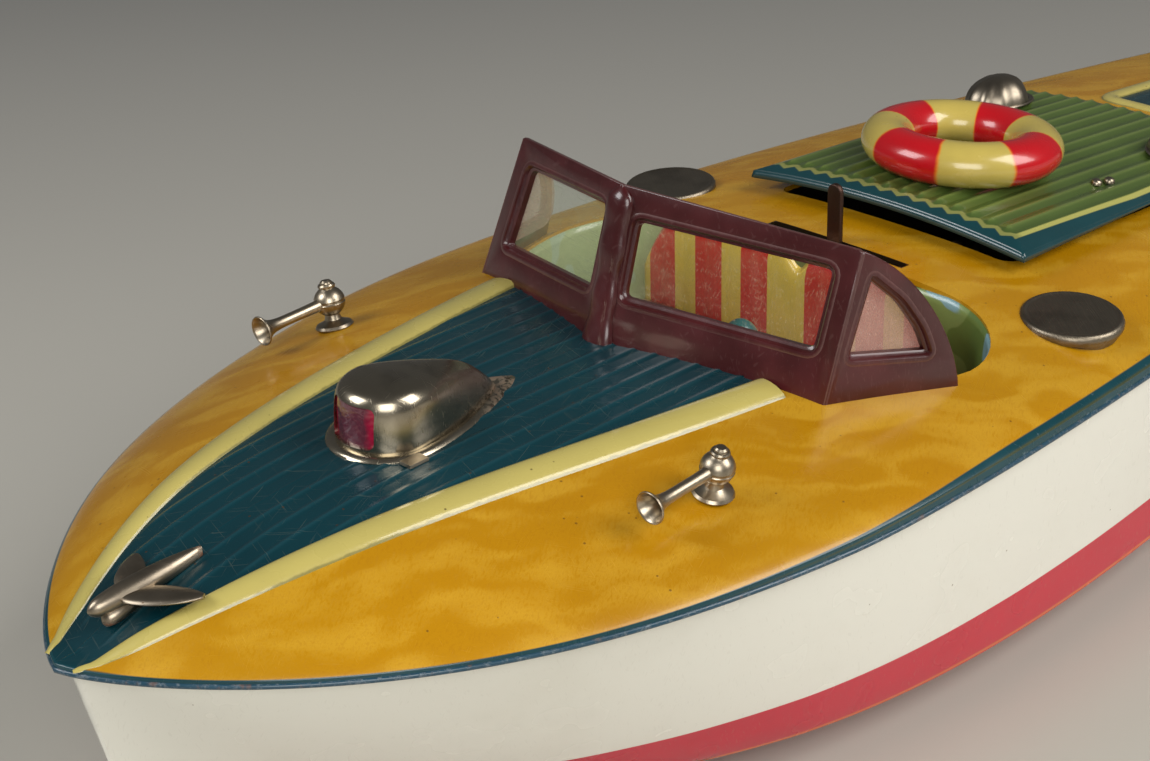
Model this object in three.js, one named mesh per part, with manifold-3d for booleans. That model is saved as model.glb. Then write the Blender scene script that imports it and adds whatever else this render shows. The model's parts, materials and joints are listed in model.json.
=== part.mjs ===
// A tin-plate toy speedboat, bow towards -Y, port side towards +X, standing on its keel at z = 0.
// All lengths are millimetres. Most places are given by their station: the distance aft of the bow.
import * as THREE from 'three';
import { mergeVertices } from 'three/addons/utils/BufferGeometryUtils.js';
import Module from 'manifold-3d';

const wasm = await Module();
wasm.setup();

// ---- driving dimensions ----
const DECK_LENGTH = 345; // rim at the bow to rim at the transom
const OVERALL_LENGTH = 368; // bow to the after edge of the rudder
const RIM_HEIGHT = 43; // lower edge of the rim at the bow, above the keel
const TIN = 0.9; // sheet thickness of deck and lid
const HULL_TIN = 1;
const GAP = 0.3; // play between pieces that touch
const CAMBER_POWER = 2.6; // how late the deck turns down towards its edge

const COCKPIT_FLOOR = 29;
const COCKPIT_REAR = 151;
const SEAT_STATION = 142;

const LID_FRONT = 167;
const LID_LENGTH = 81;
const LID_HALF_FRONT = 28.8;
const LID_HALF_REAR = 26;
const LID_LIFT = 2.4; // lower edge of the lid above the deck
const LID_RISE = 5.8; // crown of the lid above the crown of the deck, at its front

const RING_STATION = 189.2;
const RING_MIDDLE = 13; // centre of the ring's section
const RING_HALF = 4.6;
const RING_RISE = 4;

const SLOT_STATION = 154.3;
const SLOT_HALF = 13;
const SLOT_WIDTH = 1.8;
const LEVER_RADIUS = 24; // pivot to the tip of the switch lever
const LEVER_BURIED = 14; // pivot below the deck

const SHAFT_SLOPE = 0.14; // fall of the propeller shaft per millimetre aft
const PROPELLER_STATION = 350;
const PROPELLER_HEIGHT = 11;
const PROPELLER_RADIUS = 9;
const SHAFT_RADIUS = 1;
const RUDDER_STATION = 360;
const BRACKET_HEIGHT = 24; // arm that carries the rudder

const PORT = 1;
const STARBOARD = -1;
const SIDES = [[PORT, 'port'], [STARBOARD, 'starboard']];

// ---- colours and finishes ----
const finish = (color, roughness, metalness) => ({ color, roughness, metalness });
const WOOD_PRINT = finish(0xbe871f, 0.35, 0);
const WHITE_ENAMEL = finish(0xe4e0cf, 0.3, 0);
const MAROON = finish(0x4a1c22, 0.35, 0);
const NICKEL = finish(0x9c9486, 0.3, 1);
const DARK_STEEL = finish(0x4b3a35, 0.5, 0.8);
const BRASS = finish(0xb08d3f, 0.35, 1);
const CLEAR = finish(0xd8dccb, 0.25, 0);
const RED_LENS = finish(0x8c2440, 0.2, 0);
const GLASS = finish(0xe8e4d8, 0.1, 0);
const GREEN_PRINT = finish(0x6e823c, 0.35, 0);
const SEAT_PRINT = finish(0xb02a34, 0.4, 0);
const TEAL_PRINT = finish(0x194650, 0.35, 0);
const RING_PRINT = finish(0xb81420, 0.3, 0);
const BOARD = finish(0x5a3020, 0.6, 0);
const TINPLATE = finish(0xa8a498, 0.4, 1);
const BLACK_STEEL = finish(0x2a2a2c, 0.5, 0.6);

// ---- the lines of the boat ----
const { abs, sign, sin, cos, tanh, exp, sqrt, max, min, PI } = Math;

// Half-breadth of the deck's outline.
function halfBreadth(s) {
  const fullness = tanh((max(s, 0) / 55) ** 0.76);
  const taper = 1 - 0.47 * (max(0, s - 90) / 265) ** 1.25;
  return 62.8 * fullness * taper;
}

// Height of the rim's lower edge.
function rimHeight(s) {
  return RIM_HEIGHT + 0.5 * (1 - exp(-s / 30)) - 12 * (max(0, s - 110) / 245) ** 1.6;
}

// Height of the outer skin of the deck. The rim stands upright and rolls over into the camber.
function deckHeight(x, s) {
  const breadth = max(halfBreadth(s), 0.01);
  const edge = 1.4 + 1.2 * THREE.MathUtils.smoothstep(s, 40, 110);
  const crown = max(11.7 * tanh(s / 29) * (1 - 0.0021 * s) + 1.9 * (1 - exp(-s / 30)), edge);
  const camber = (crown - edge) * (1 - min(abs(x) / breadth, 1) ** CAMBER_POWER);
  const inboard = min(max(breadth - abs(x), 0), s + 0.2, 3);
  const roll = 0.25 * edge * (1 - sqrt(1 - (1 - inboard / 3) ** 2));
  return rimHeight(s) + edge + camber - roll;
}

const deckPoint = (x, s, above = 0) => new THREE.Vector3(x, s, deckHeight(x, s) + above);

// ---- closed bodies ----

// Merges the corners of a geometry, drops collapsed triangles and turns its faces outward.
function closed(geometry) {
  geometry.deleteAttribute('normal');
  geometry.deleteAttribute('uv');
  const merged = mergeVertices(geometry, 1e-4);
  const point = merged.attributes.position;
  const corners = [];
  let volume = 0;
  const [a, b, c] = [0, 0, 0].map(() => new THREE.Vector3());
  for (let i = 0; i < merged.index.count; i += 3) {
    const [ia, ib, ic] = [0, 1, 2].map((k) => merged.index.getX(i + k));
    if (ia === ib || ib === ic || ia === ic) continue;
    corners.push(ia, ib, ic);
    a.fromBufferAttribute(point, ia);
    b.fromBufferAttribute(point, ib);
    c.fromBufferAttribute(point, ic);
    volume += a.dot(b.cross(c));
  }
  if (volume < 0) corners.reverse();
  merged.setIndex(corners);
  return merged;
}

function solid(geometry) {
  const body = closed(geometry);
  const vertProperties = new Float32Array(body.attributes.position.array);
  const triVerts = new Uint32Array(body.index.array);
  return new wasm.Manifold(new wasm.Mesh({ numProp: 3, vertProperties, triVerts }));
}

function geometryOf(manifold) {
  const mesh = manifold.getMesh();
  const geometry = new THREE.BufferGeometry();
  geometry.setAttribute('position', new THREE.BufferAttribute(mesh.vertProperties, 3));
  geometry.setIndex(new THREE.BufferAttribute(mesh.triVerts, 1));
  geometry.computeVertexNormals();
  return geometry;
}

const cut = (body, ...tools) => tools.reduce((left, tool) => left.subtract(tool), body);
const join = (...bodies) => bodies.reduce((whole, body) => whole.add(body));

// A block whose points are moved by place(u, v, w): u runs -1 to 1, v and w run 0 to 1.
function block(across, along, place) {
  const geometry = new THREE.BoxGeometry(1, 1, 1, across, along, 1);
  const position = geometry.attributes.position;
  for (let i = 0; i < position.count; i++) {
    const to = place(2 * position.getX(i), position.getY(i) + 0.5, position.getZ(i) + 0.5);
    position.setXYZ(i, to.x, to.y, to.z);
  }
  return solid(geometry);
}

// A skin over a row of rings: a cylinder whose points are moved by place(turn, along).
function loft(around, along, place) {
  const geometry = new THREE.CylinderGeometry(1, 1, 1, around, along);
  const position = geometry.attributes.position;
  const middle = (v) => {
    const sum = new THREE.Vector3();
    for (let k = 0; k < around; k++) sum.add(place(k / around, v));
    return sum.divideScalar(around);
  };
  for (let i = 0; i < position.count; i++) {
    const [x, y, z] = [position.getX(i), position.getY(i), position.getZ(i)];
    const turn = (Math.round((Math.atan2(x, z) / (2 * PI)) * around) / around + 1) % 1;
    const to = Math.hypot(x, z) < 0.5 ? middle(y + 0.5) : place(turn, y + 0.5);
    position.setXYZ(i, to.x, to.y, to.z);
  }
  return solid(geometry);
}

// A turned piece about the z axis. The profile is a list of [radius, height].
function turned(profile, segments = 24) {
  const points = profile.map(([r, z]) => new THREE.Vector2(r, z));
  return new THREE.LatheGeometry(points, segments).rotateX(PI / 2);
}

function box(width, depth, height, x = 0, y = 0, z = 0) {
  return new THREE.BoxGeometry(width, depth, height).translate(x, y, z);
}

function plate(shape, thickness, curveSegments = 4) {
  return new THREE.ExtrudeGeometry(shape, { depth: thickness, bevelEnabled: false, curveSegments });
}

function outline(points) {
  return new THREE.Shape(points.map(([x, y]) => new THREE.Vector2(x, y)));
}

// A rectangle with rounded corners, from (left, bottom) to (right, top).
function roundedRect(left, bottom, right, top, radius, Path = THREE.Shape) {
  const path = new Path();
  path.moveTo(left + radius, bottom);
  path.lineTo(right - radius, bottom);
  path.absarc(right - radius, bottom + radius, radius, -PI / 2, 0);
  path.lineTo(right, top - radius);
  path.absarc(right - radius, top - radius, radius, 0, PI / 2);
  path.lineTo(left + radius, top);
  path.absarc(left + radius, top - radius, radius, PI / 2, PI);
  path.lineTo(left, bottom + radius);
  path.absarc(left + radius, bottom + radius, radius, PI, 1.5 * PI);
  return path;
}

// ---- the scene graph ----
const boat = new THREE.Group();
const stations = new THREE.Group(); // its y is the station
stations.position.y = -OVERALL_LENGTH / 2;
boat.add(stations);

function addMesh(name, look, shape, parent = stations) {
  const geometry = shape instanceof THREE.BufferGeometry ? geometryOf(solid(shape)) : geometryOf(shape);
  const mesh = new THREE.Mesh(geometry, new THREE.MeshStandardMaterial(look));
  mesh.name = name;
  parent.add(mesh);
  return mesh;
}

// A group at a point, turned so that its own z axis leans outboard by `lean` radians.
function seatOn(point, lean = 0) {
  const group = new THREE.Group();
  group.position.copy(point);
  group.rotation.y = lean;
  stations.add(group);
  return group;
}

// Everything between two levels measured from the deck's skin, for trimming what stands on it.
function deckSlab(low, high, across = 24, along = 40) {
  return block(across, along, (u, v, w) => {
    const s = 0.5 + (DECK_LENGTH - 1) * v;
    const x = 64 * u;
    return deckPoint(x, s, w ? high : low);
  });
}

const BELOW_DECK = deckSlab(-60, GAP);
const ABOVE_DECK = deckSlab(-TIN - GAP, 60);

// ---- deck ----
const LATERAL_CROWDING = 1.8; // crowds the grid towards the edges
const BOW_CROWDING = 1.5;

const spreadAcross = (u) => sign(u) * (1 - (1 - abs(u)) ** LATERAL_CROWDING);

function deckSolid(inset, across, along) {
  return block(across, along, (u, v, w) => {
    const first = inset * 1.1;
    const s = first + (DECK_LENGTH - inset - first) * v ** BOW_CROWDING;
    const breadth = max(halfBreadth(s - first) - inset, 0);
    const x = spreadAcross(u) * breadth;
    const top = deckHeight(spreadAcross(u) * halfBreadth(s), s) - inset;
    return new THREE.Vector3(x, s, w ? top : rimHeight(s) - 2 * inset);
  });
}

function cockpitOutline(margin = 0) {
  const shape = new THREE.Shape();
  const front = 101 - margin;
  const rear = COCKPIT_REAR + margin;
  const side = 42.5 + margin;
  shape.moveTo(0, front);
  shape.lineTo(32 + margin, front + 9.5);
  shape.bezierCurveTo(37 + margin, 116, side - 1, 124, side, 134);
  shape.bezierCurveTo(side, rear - 8, side - 8, rear, 26, rear);
  shape.lineTo(-26, rear);
  shape.bezierCurveTo(-side + 8, rear, -side, rear - 8, -side, 134);
  shape.bezierCurveTo(-side + 1, 124, -37 - margin, 116, -32 - margin, front + 9.5);
  shape.lineTo(0, front);
  return shape;
}

const upright = (shape, low, high) => solid(plate(shape, high - low).translate(0, 0, low));

// The two raised mouldings beside the foredeck panel, and the same pair on the after deck.
const foreMoulding = {
  from: 2,
  to: 104,
  centre: (s) => 38 * (1 - exp(-(s + 4) / 80)) + 1.7 * exp(-(((s - 22) / 25) ** 2)),
  half: (s) => 2.7 * tanh((s + 4) / 38),
};
const aftMoulding = {
  from: 262,
  to: 337,
  centre: (s) => 17.5 - 0.02 * (s - 262),
  half: () => 2,
};

function mouldingRibbon({ from, to, centre, half }, side) {
  return block(2, 14, (u, v, w) => {
    const s = from + (to - from) * v;
    const x = side * (centre(s) + u * half(s));
    return deckPoint(x, s, w ? 1.1 * (1 - u * u) - 0.1 : -0.5);
  });
}

function buildDeck() {
  const skin = cut(deckSolid(0, 14, 26), deckSolid(TIN, 14, 26));
  const hatchway = upright(roundedRect(-25, 168.9, 25, 243.5, 3), 20, 80);
  const slotTop = SLOT_STATION + SLOT_WIDTH / 2;
  const slotLow = SLOT_STATION - SLOT_WIDTH / 2;
  const slot = upright(roundedRect(-SLOT_HALF, slotLow, SLOT_HALF, slotTop, 0.8), 20, 80);
  const opened = cut(skin, upright(cockpitOutline(), 20, 80), hatchway, slot);
  const ribbons = SIDES.flatMap(([side]) => [
    mouldingRibbon(foreMoulding, side),
    mouldingRibbon(aftMoulding, side),
  ]);
  addMesh('deck_shell', WOOD_PRINT, join(opened, ...ribbons));
}
buildDeck();

// ---- hull ----
const CHINE = 0.42; // share of the section's girth that lies in the bottom
const CHINE_HEIGHT = 7;
const KEEL_HALF = 13; // half-width of the flat of the bottom
const TRANSOM_RAKE = 8;
const SHEER_LAP = 0.1; // how far the hull stands up inside the rim

// Station and height of the stem at a share v of the girth.
function stemPoint(v) {
  if (v < CHINE) {
    const angle = ((v / CHINE) * PI) / 2;
    return { s: 50 - 42 * sin(angle), z: 14 * (1 - cos(angle)) };
  }
  const up = (v - CHINE) / (1 - CHINE);
  return { s: 8 - 6 * up, z: 14 + (RIM_HEIGHT + SHEER_LAP - 14) * up };
}

const sternStation = (v, inset = 0) => DECK_LENGTH - 1.2 - TRANSOM_RAKE * (1 - v) - inset;

// A point of the port side: t runs from stem to transom, v from the flat of the bottom to the sheer.
function hullSide(t, v, inset) {
  const stem = stemPoint(v);
  const start = stem.s + 2.2 * inset;
  const s = start + (sternStation(v, inset) - start) * t ** 1.35;
  const sheer = halfBreadth(s - 1) - 1.35;
  const chine = sheer * 0.99 * (1 - exp(-((s / 58) ** 1.25)));
  const flat = min(KEEL_HALF, chine * 0.6);
  const chineHeight = CHINE_HEIGHT + 12 * exp(-s / 22);
  let x;
  let z;
  if (v < CHINE) {
    const out = v / CHINE;
    x = flat + (chine - flat) * out ** 0.9;
    z = chineHeight * out ** 1.8;
  } else {
    const up = (v - CHINE) / (1 - CHINE);
    x = chine + (sheer - chine) * up ** 0.8;
    z = chineHeight + (rimHeight(s) + SHEER_LAP - chineHeight) * up;
  }
  const run = s - start;
  const entry = t ? 1 - exp(-(run + 1) / (1 + 22 * (1 - v))) : 0;
  const blend = exp(-run / 14);
  const height = z * (1 - blend) + stem.z * blend;
  const overTop = v === 1 && inset ? 6 : 0;
  return new THREE.Vector3(max(x * entry - inset, 0), s, height + overTop + inset * (1 - 0.8 * v));
}

// The hull is a stack of rings: up the port side, across the transom and back along starboard.
function hullSolid(inset, lengthwise = 22, athwart = 4) {
  const around = 2 * lengthwise + athwart;
  const levels = [0, 0.2, 0.32, CHINE, 0.56, 0.78, 1];
  return loft(around, levels.length - 1, (turn, up) => {
    const v = levels[Math.round(up * (levels.length - 1))];
    const k = Math.round(turn * around);
    if (k <= lengthwise) return hullSide(k / lengthwise, v, inset);
    const corner = hullSide(1, v, inset);
    const over = (k - lengthwise) / athwart;
    if (over < 1) return corner.setX(corner.x * (1 - 2 * over));
    const point = hullSide((around - k) / lengthwise, v, inset);
    return point.setX(-point.x);
  });
}

// A frame whose own z axis lies on the propeller shaft and points aft, from the propeller's centre.
function onShaft(parent) {
  const group = new THREE.Group();
  group.position.set(0, PROPELLER_STATION, PROPELLER_HEIGHT);
  group.rotation.x = -PI / 2 - Math.atan(SHAFT_SLOPE);
  parent.add(group);
  return group;
}
const driveLine = onShaft(stations);

function buildHull() {
  driveLine.updateMatrix();
  const tubeHole = new THREE.CylinderGeometry(2.4, 2.4, 40, 20).rotateX(PI / 2);
  tubeHole.applyMatrix4(driveLine.matrix);
  addMesh('hull_shell', WHITE_ENAMEL, cut(hullSolid(0), hullSolid(HULL_TIN), solid(tubeHole)));
}
buildHull();

// ---- bow ornament: a swept arrow, riveted on a little askew ----
const ORNAMENT = { nose: [0.2, 5.4, 49.3], rise: 0.17, turn: -0.137 };

function buildOrnament() {
  const place = (geometry) => solid(geometry.rotateZ(ORNAMENT.turn).translate(...ORNAMENT.nose));
  const body = turned([[0, 0], [1.1, 0.8], [1.5, 3], [1.5, 8], [0.9, 13], [0, 16.6]], 14);
  const port = [[0, 5.2], [4.6, 7], [8, 11.8], [5, 11.4], [0, 8.8]];
  const wings = outline([...port, ...port.slice(1, -1).reverse().map(([x, s]) => [-x, s])]);
  const saddle = new THREE.CylinderGeometry(1.4, 1.8, 8, 12).rotateX(PI / 2);
  const pieces = [
    place(body.rotateX(-PI / 2 + ORNAMENT.rise)),
    place(plate(wings, 1.1).translate(0, 0, 1.6)),
    place(saddle.translate(0, 4, -3)),
  ];
  addMesh('bow_ornament', NICKEL, cut(join(...pieces), BELOW_DECK));
}
buildOrnament();

// ---- headlamp ----
const LAMP = { station: 56.5, radius: 7.6, height: 10, tail: 20.5, wall: 0.7, flange: 1 };

// Draws the after half of a round dome out into a teardrop.
function teardrop(geometry) {
  const position = geometry.attributes.position;
  for (let i = 0; i < position.count; i++) {
    const aft = max(0, position.getY(i)) / LAMP.radius;
    const narrow = 1 - 0.3 * aft ** 2;
    position.setX(i, position.getX(i) * narrow);
    if (aft > 0) position.setY(i, (position.getY(i) * LAMP.tail) / LAMP.radius);
  }
  return geometry;
}

function domeProfile(radius, height, foot) {
  const arc = [0, 0.25, 0.5, 0.75].map((k) => {
    const angle = (k * PI) / 2;
    return [radius * cos(angle) ** 0.6, height * sin(angle)];
  });
  return [[0, foot], [radius, foot], ...arc, [0, height]];
}

function buildLamp() {
  const { station, radius, height, wall } = LAMP;
  const level = deckHeight(0, station) - 1.2;
  const place = (geometry) => solid(teardrop(geometry).translate(0, station, level));
  const dome = (inset, foot) => place(turned(domeProfile(radius - inset, height + 1.2 - inset, foot), 20));
  const rim = radius + LAMP.flange;
  const foot = place(turned([[0, -2], [rim, -2], [rim, 2.2], [0, 2.2]], 20));
  const opening = plate(roundedRect(-3.4, level + 3, 3.4, level + 9.2, 1), 8).rotateX(PI / 2);
  const window = solid(opening.translate(0, station - radius + 4.5, 0));
  const tab = solid(box(3, 3.4, 3, radius, station + 2, level + 1));
  const shell = cut(join(dome(0, -3), foot, tab), BELOW_DECK, dome(wall, -4), window);
  addMesh('lamp_housing', NICKEL, shell);
  const pane = plate(roundedRect(-4.4, level + 2.2, 4.4, level + 9.8, 1), 0.5).rotateX(PI / 2);
  const lens = solid(pane.translate(0, station - radius + 3.9, 0)).intersect(dome(wall + 0.3, -3));
  addMesh('lamp_lens', RED_LENS, lens);
  const bulb = seatOn(new THREE.Vector3(0, station + 1, level));
  addMesh('lamp_bulb', GLASS, turned([[0, 3.6], [1.3, 4], [1.9, 5.4], [1.3, 7], [0, 7.5]], 12), bulb);
  addMesh('lamp_socket', BRASS, turned([[0, 1.6], [2.2, 1.6], [2.2, 3], [1.6, 3.3], [0, 3.3]], 12), bulb);
}
buildLamp();

// ---- horns ----
const HORN = { x: 39.8, station: 79.3, ball: 4.5, ballRadius: 2.45, lean: 0.23, length: 13.2 };

function buildHorn(side, name) {
  const seat = seatOn(deckPoint(side * HORN.x, HORN.station, GAP + 0.2), side * HORN.lean);
  const { ball, ballRadius } = HORN;
  const arc = [-60, -25, 0, 25, 60].map((deg) => {
    const angle = (deg * PI) / 180;
    return [ballRadius * cos(angle), ball + ballRadius * sin(angle)];
  });
  const post = [[0, 0], [2.8, 0], [2.8, 0.4], [1.6, 0.9], [0.9, 1.5], [0.9, ball - 2.2], ...arc];
  post.push([0.7, ball + 2.3], [1.1, ball + 2.6], [1, ball + 3.1], [0, ball + 3.3]);
  addMesh(`horn_post_${name}`, NICKEL, turned(post, 14), seat);
  const reach = HORN.length;
  const trumpet = [[0, 2.7], [0.8, 2.7], [0.75, 10], [1.1, 11.6], [2.1, reach], [1.8, reach]];
  trumpet.push([0.7, 11.4], [0, 9]);
  const pipe = turned(trumpet, 16).rotateX(PI / 2).translate(0, 0, ball);
  addMesh(`horn_trumpet_${name}`, NICKEL, pipe, seat);
}
SIDES.forEach(([side, name]) => buildHorn(side, name));

// ---- windscreen ----
const SCREEN_TIN = 0.9;

// A frame in the plane of three points: x along origin-to-along, y towards up, z forward and out.
function panelFrame(origin, along, up, side) {
  const flip = new THREE.Vector3(side, 1, 1);
  const start = new THREE.Vector3(...origin).multiply(flip);
  const x = new THREE.Vector3(...along).multiply(flip).sub(start).normalize();
  const y = new THREE.Vector3(...up).multiply(flip).sub(start);
  y.addScaledVector(x, -y.dot(x)).normalize();
  const z = new THREE.Vector3().crossVectors(x, y).multiplyScalar(side);
  return new THREE.Matrix4().makeBasis(x, y, z).setPosition(start);
}

const SCREEN = {
  footCentre: [0, 97.6, 54.6],
  topCentre: [0, 104.2, 77.8],
  footCorner: [35.6, 108, 52],
  wingFoot: [43.6, 129, 49],
  topCorner: [34.7, 117.4, 72.8],
};

function frontPanel() {
  const shape = outline([[0, -2], [37.3, -2], [37.4, 23], [0, 24.1]]);
  shape.holes.push(roundedRect(3, 6.2, 34.7, 19.6, 2, THREE.Path));
  return shape;
}

function wingOutline(shape, inset) {
  const foot = inset ? 5.2 : -2;
  const front = inset ? 3 : 0;
  const peak = [5.6 + inset * 0.5, 22.2 - inset * 1.4];
  shape.moveTo(front, foot);
  shape.lineTo(22.7 - inset * 1.6, foot);
  shape.bezierCurveTo(20.5 - inset * 1.3, 10, 13 - inset * 0.2, 19.5 - inset, ...peak);
  shape.lineTo(front, foot);
  return shape;
}

function sidePanel() {
  const shape = wingOutline(new THREE.Shape(), 0);
  shape.holes.push(wingOutline(new THREE.Path(), 3));
  return shape;
}

// A round bead along a bend of the frame.
function bead(from, to, side) {
  const flip = new THREE.Vector3(side, 1, 1);
  const [a, b] = [from, to].map((p) => new THREE.Vector3(...p).multiply(flip));
  const along = b.clone().sub(a);
  const rod = new THREE.CylinderGeometry(0.7, 0.7, along.length(), 10);
  const turn = new THREE.Quaternion().setFromUnitVectors(new THREE.Vector3(0, 1, 0), along.normalize());
  return solid(rod.applyQuaternion(turn).translate(...a.add(b).multiplyScalar(0.5).toArray()));
}

function buildWindscreen() {
  const parts = [];
  for (const [side, name] of SIDES) {
    const front = panelFrame(SCREEN.footCentre, SCREEN.footCorner, SCREEN.topCentre, side);
    const wing = panelFrame(SCREEN.footCorner, SCREEN.wingFoot, SCREEN.topCorner, side);
    const behind = -SCREEN_TIN / 2 - GAP - 0.4;
    parts.push(solid(plate(frontPanel(), SCREEN_TIN).translate(0, 0, -SCREEN_TIN / 2).applyMatrix4(front)));
    parts.push(solid(plate(sidePanel(), SCREEN_TIN).translate(0, 0, -SCREEN_TIN / 2).applyMatrix4(wing)));
    parts.push(bead(SCREEN.footCorner, SCREEN.topCorner, side));
    const pane = plate(roundedRect(2, 5.2, 35.4, 20.6, 2), 0.4).translate(0, 0, behind);
    addMesh(`pane_front_${name}`, CLEAR, solid(pane.applyMatrix4(front)));
    const small = plate(wingOutline(new THREE.Shape(), 2.2), 0.4).translate(0, 0, behind);
    addMesh(`pane_side_${name}`, CLEAR, solid(small.applyMatrix4(wing)));
  }
  parts.push(bead(SCREEN.footCentre, SCREEN.topCentre, PORT));
  addMesh('windscreen_frame', MAROON, cut(join(...parts), BELOW_DECK));
}
buildWindscreen();

// ---- cockpit ----
const SEATING_LEVEL = COCKPIT_FLOOR + 0.8 + GAP;

function buildTub() {
  const shell = upright(cockpitOutline(0.8), COCKPIT_FLOOR, 70);
  const well = upright(cockpitOutline(0), COCKPIT_FLOOR + 0.8, 80);
  addMesh('cockpit_tub', GREEN_PRINT, cut(shell, well, ABOVE_DECK));
}
buildTub();

// Stands a plate drawn in (station, height) upright, its thickness running to port from x.
function standAlong(geometry, x) {
  const axes = [[0, 1, 0], [0, 0, 1], [1, 0, 0]].map((axis) => new THREE.Vector3(...axis));
  return geometry.applyMatrix4(new THREE.Matrix4().makeBasis(...axes)).translate(x, 0, 0);
}

function buildSeat() {
  const floor = SEATING_LEVEL;
  const lobes = new THREE.Shape();
  lobes.moveTo(-31, floor);
  lobes.lineTo(31, floor);
  lobes.lineTo(31, 47);
  lobes.bezierCurveTo(31, 52, 27, 53, 21, 53);
  lobes.lineTo(9, 53);
  lobes.bezierCurveTo(4, 53, 1.5, 52.5, 0, 49.5);
  lobes.bezierCurveTo(-1.5, 52.5, -4, 53, -9, 53);
  lobes.lineTo(-21, 53);
  lobes.bezierCurveTo(-27, 53, -31, 52, -31, 47);
  const back = plate(lobes, 1.2).rotateX(PI / 2).translate(0, SEAT_STATION + 1.2, 0);
  addMesh('seat_back', SEAT_PRINT, back);

  const seatFront = SEAT_STATION - 15;
  const bent = outline([
    [seatFront, floor], [seatFront + 0.8, floor], [seatFront + 0.8, 36.2], [SEAT_STATION - 0.4, 36.2],
    [SEAT_STATION - 0.4, 37], [seatFront, 37],
  ]);
  addMesh('seat_cushion', SEAT_PRINT, standAlong(plate(bent, 62), -31));
}
buildSeat();

function buildConsole() {
  const seat = seatOn(new THREE.Vector3(7, 122.5, SEATING_LEVEL));
  const pod = turned([[0, 0], [3.2, 0], [3.2, 10], [2.8, 15], [1.6, 19], [0, 20.5]], 14);
  addMesh('dash_console', TEAL_PRINT, pod, seat);
}
buildConsole();

// ---- deck caps ----
const CAP = { x: 42.4, station: 158.8, lean: 0.06, rise: 1.1 };

function buildCap(side, name) {
  const seat = seatOn(deckPoint(side * CAP.x, CAP.station, GAP + CAP.rise), side * CAP.lean);
  const profile = [[0, 0], [7.6, 0], [8.1, 0.4], [8.1, 1.7], [7.7, 2.2], [7.2, 2.2], [6.9, 1.9], [0, 1.9]];
  addMesh(`cap_${name}`, NICKEL, turned(profile, 24), seat);
}
SIDES.forEach(([side, name]) => buildCap(side, name));

// ---- switch lever ----
const leverSeat = new THREE.Vector3(0, SLOT_STATION, deckHeight(0, SLOT_STATION) - LEVER_BURIED);

function buildSwitch() {
  const seat = seatOn(leverSeat);
  const strip = new THREE.Shape();
  strip.moveTo(-1.2, 1.5);
  strip.lineTo(-1.2, LEVER_RADIUS - 1.2);
  strip.absarc(0, LEVER_RADIUS - 1.2, 1.2, PI, 0, true);
  strip.lineTo(1.2, 1.5);
  strip.absarc(0, 0, 3, PI / 3, (-4 * PI) / 3, true);
  strip.holes.push(new THREE.Path().absarc(0, 0, 1.3, 0, 2 * PI));
  addMesh('control_lever', DARK_STEEL, plate(strip, 1).rotateX(PI / 2).translate(0, 0.5, 0), seat);
  const pin = turned([[0, 0], [2, 0], [2, 0.6], [0.9, 0.7], [0.9, 3.4], [0, 3.4]], 14);
  addMesh('lever_pin', BRASS, pin.rotateX(-PI / 2).translate(0, -1.5, 0), seat);
  const cheek = roundedRect(-15, -7, 15, LEVER_BURIED - TIN - 0.7, 2);
  cheek.holes.push(new THREE.Path().absarc(0, 0, 1.3, 0, 2 * PI));
  addMesh('lever_bracket', TINPLATE, plate(cheek, 0.8).rotateX(PI / 2).translate(0, 1.7, 0), seat);
  const wiper = outline([[-2, -4.6], [2, -4.6], [1, -3.4], [-1, -3.4]]);
  addMesh('switch_wiper', BRASS, plate(wiper, 0.8).rotateX(PI / 2).translate(0, 0.4, 0), seat);
}
buildSwitch();

// ---- battery compartment ----
const CELL_X = 13.9; // centre of each cell's bay, off the keel line

function buildBatteryBay() {
  const [low, high] = [4.8, 21];
  const tray = solid(box(57, 60, high - low, 0, 207, (low + high) / 2));
  const bays = SIDES.map(([side]) => solid(box(27, 58, 20, side * CELL_X, 207, low + 1 + 10)));
  addMesh('battery_tray', TINPLATE, cut(tray, ...bays));
  for (const [side, name] of SIDES) {
    const leaf = outline([
      [178.5, 8], [179.1, 8], [179.1, 15], [182.5, 12.4], [182.9, 12.9], [179, 16.6], [178.5, 16.6],
    ]);
    addMesh(`contact_spring_${name}`, BRASS, standAlong(plate(leaf, 8), side * CELL_X - 4));
    addMesh(`contact_button_${name}`, BRASS, box(12, 0.8, 9, side * CELL_X, 235.3, 13));
  }
}
buildBatteryBay();

function buildTerminals() {
  addMesh('terminal_board', BOARD, box(14, 1.2, 14, 17.5, 170.2, 42.6));
  const rivet = turned([[0, 0], [1.2, 0], [1.1, 0.5], [0.6, 0.9], [0, 1]], 12);
  addMesh('terminal_rivet', NICKEL, rivet.translate(13, 170.2, 49.9));
}
buildTerminals();

// ---- lid over the battery compartment ----
const lidHalf = (v) => LID_HALF_FRONT + (LID_HALF_REAR - LID_HALF_FRONT) * v;

// Height of the lid's skin inside its border.
function lidHeight(x, s) {
  const rise = LID_RISE - 0.018 * (s - LID_FRONT);
  return deckHeight(0, s) + rise - 1.3 * (abs(x) / 23) ** 2;
}

// The lid without its ribs: a crowned panel with a border that slopes down to an upright edge.
function lidSolid(inset) {
  return block(12, 8, (u, v, w) => {
    const s = LID_FRONT + inset + (LID_LENGTH - 2 * inset) * v;
    const x = spreadAcross(u) * (lidHalf(v) - inset);
    const ends = max(LID_FRONT + 5 - s, s - LID_FRONT - LID_LENGTH + 5);
    const border = min(max(0, abs(x) - lidHalf(v) + 5, ends) / 5, 1);
    const low = deckHeight(x, s) + LID_LIFT - 3 * inset;
    return new THREE.Vector3(x, s, w ? lidHeight(x, s) - border - inset : low);
  });
}

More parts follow.
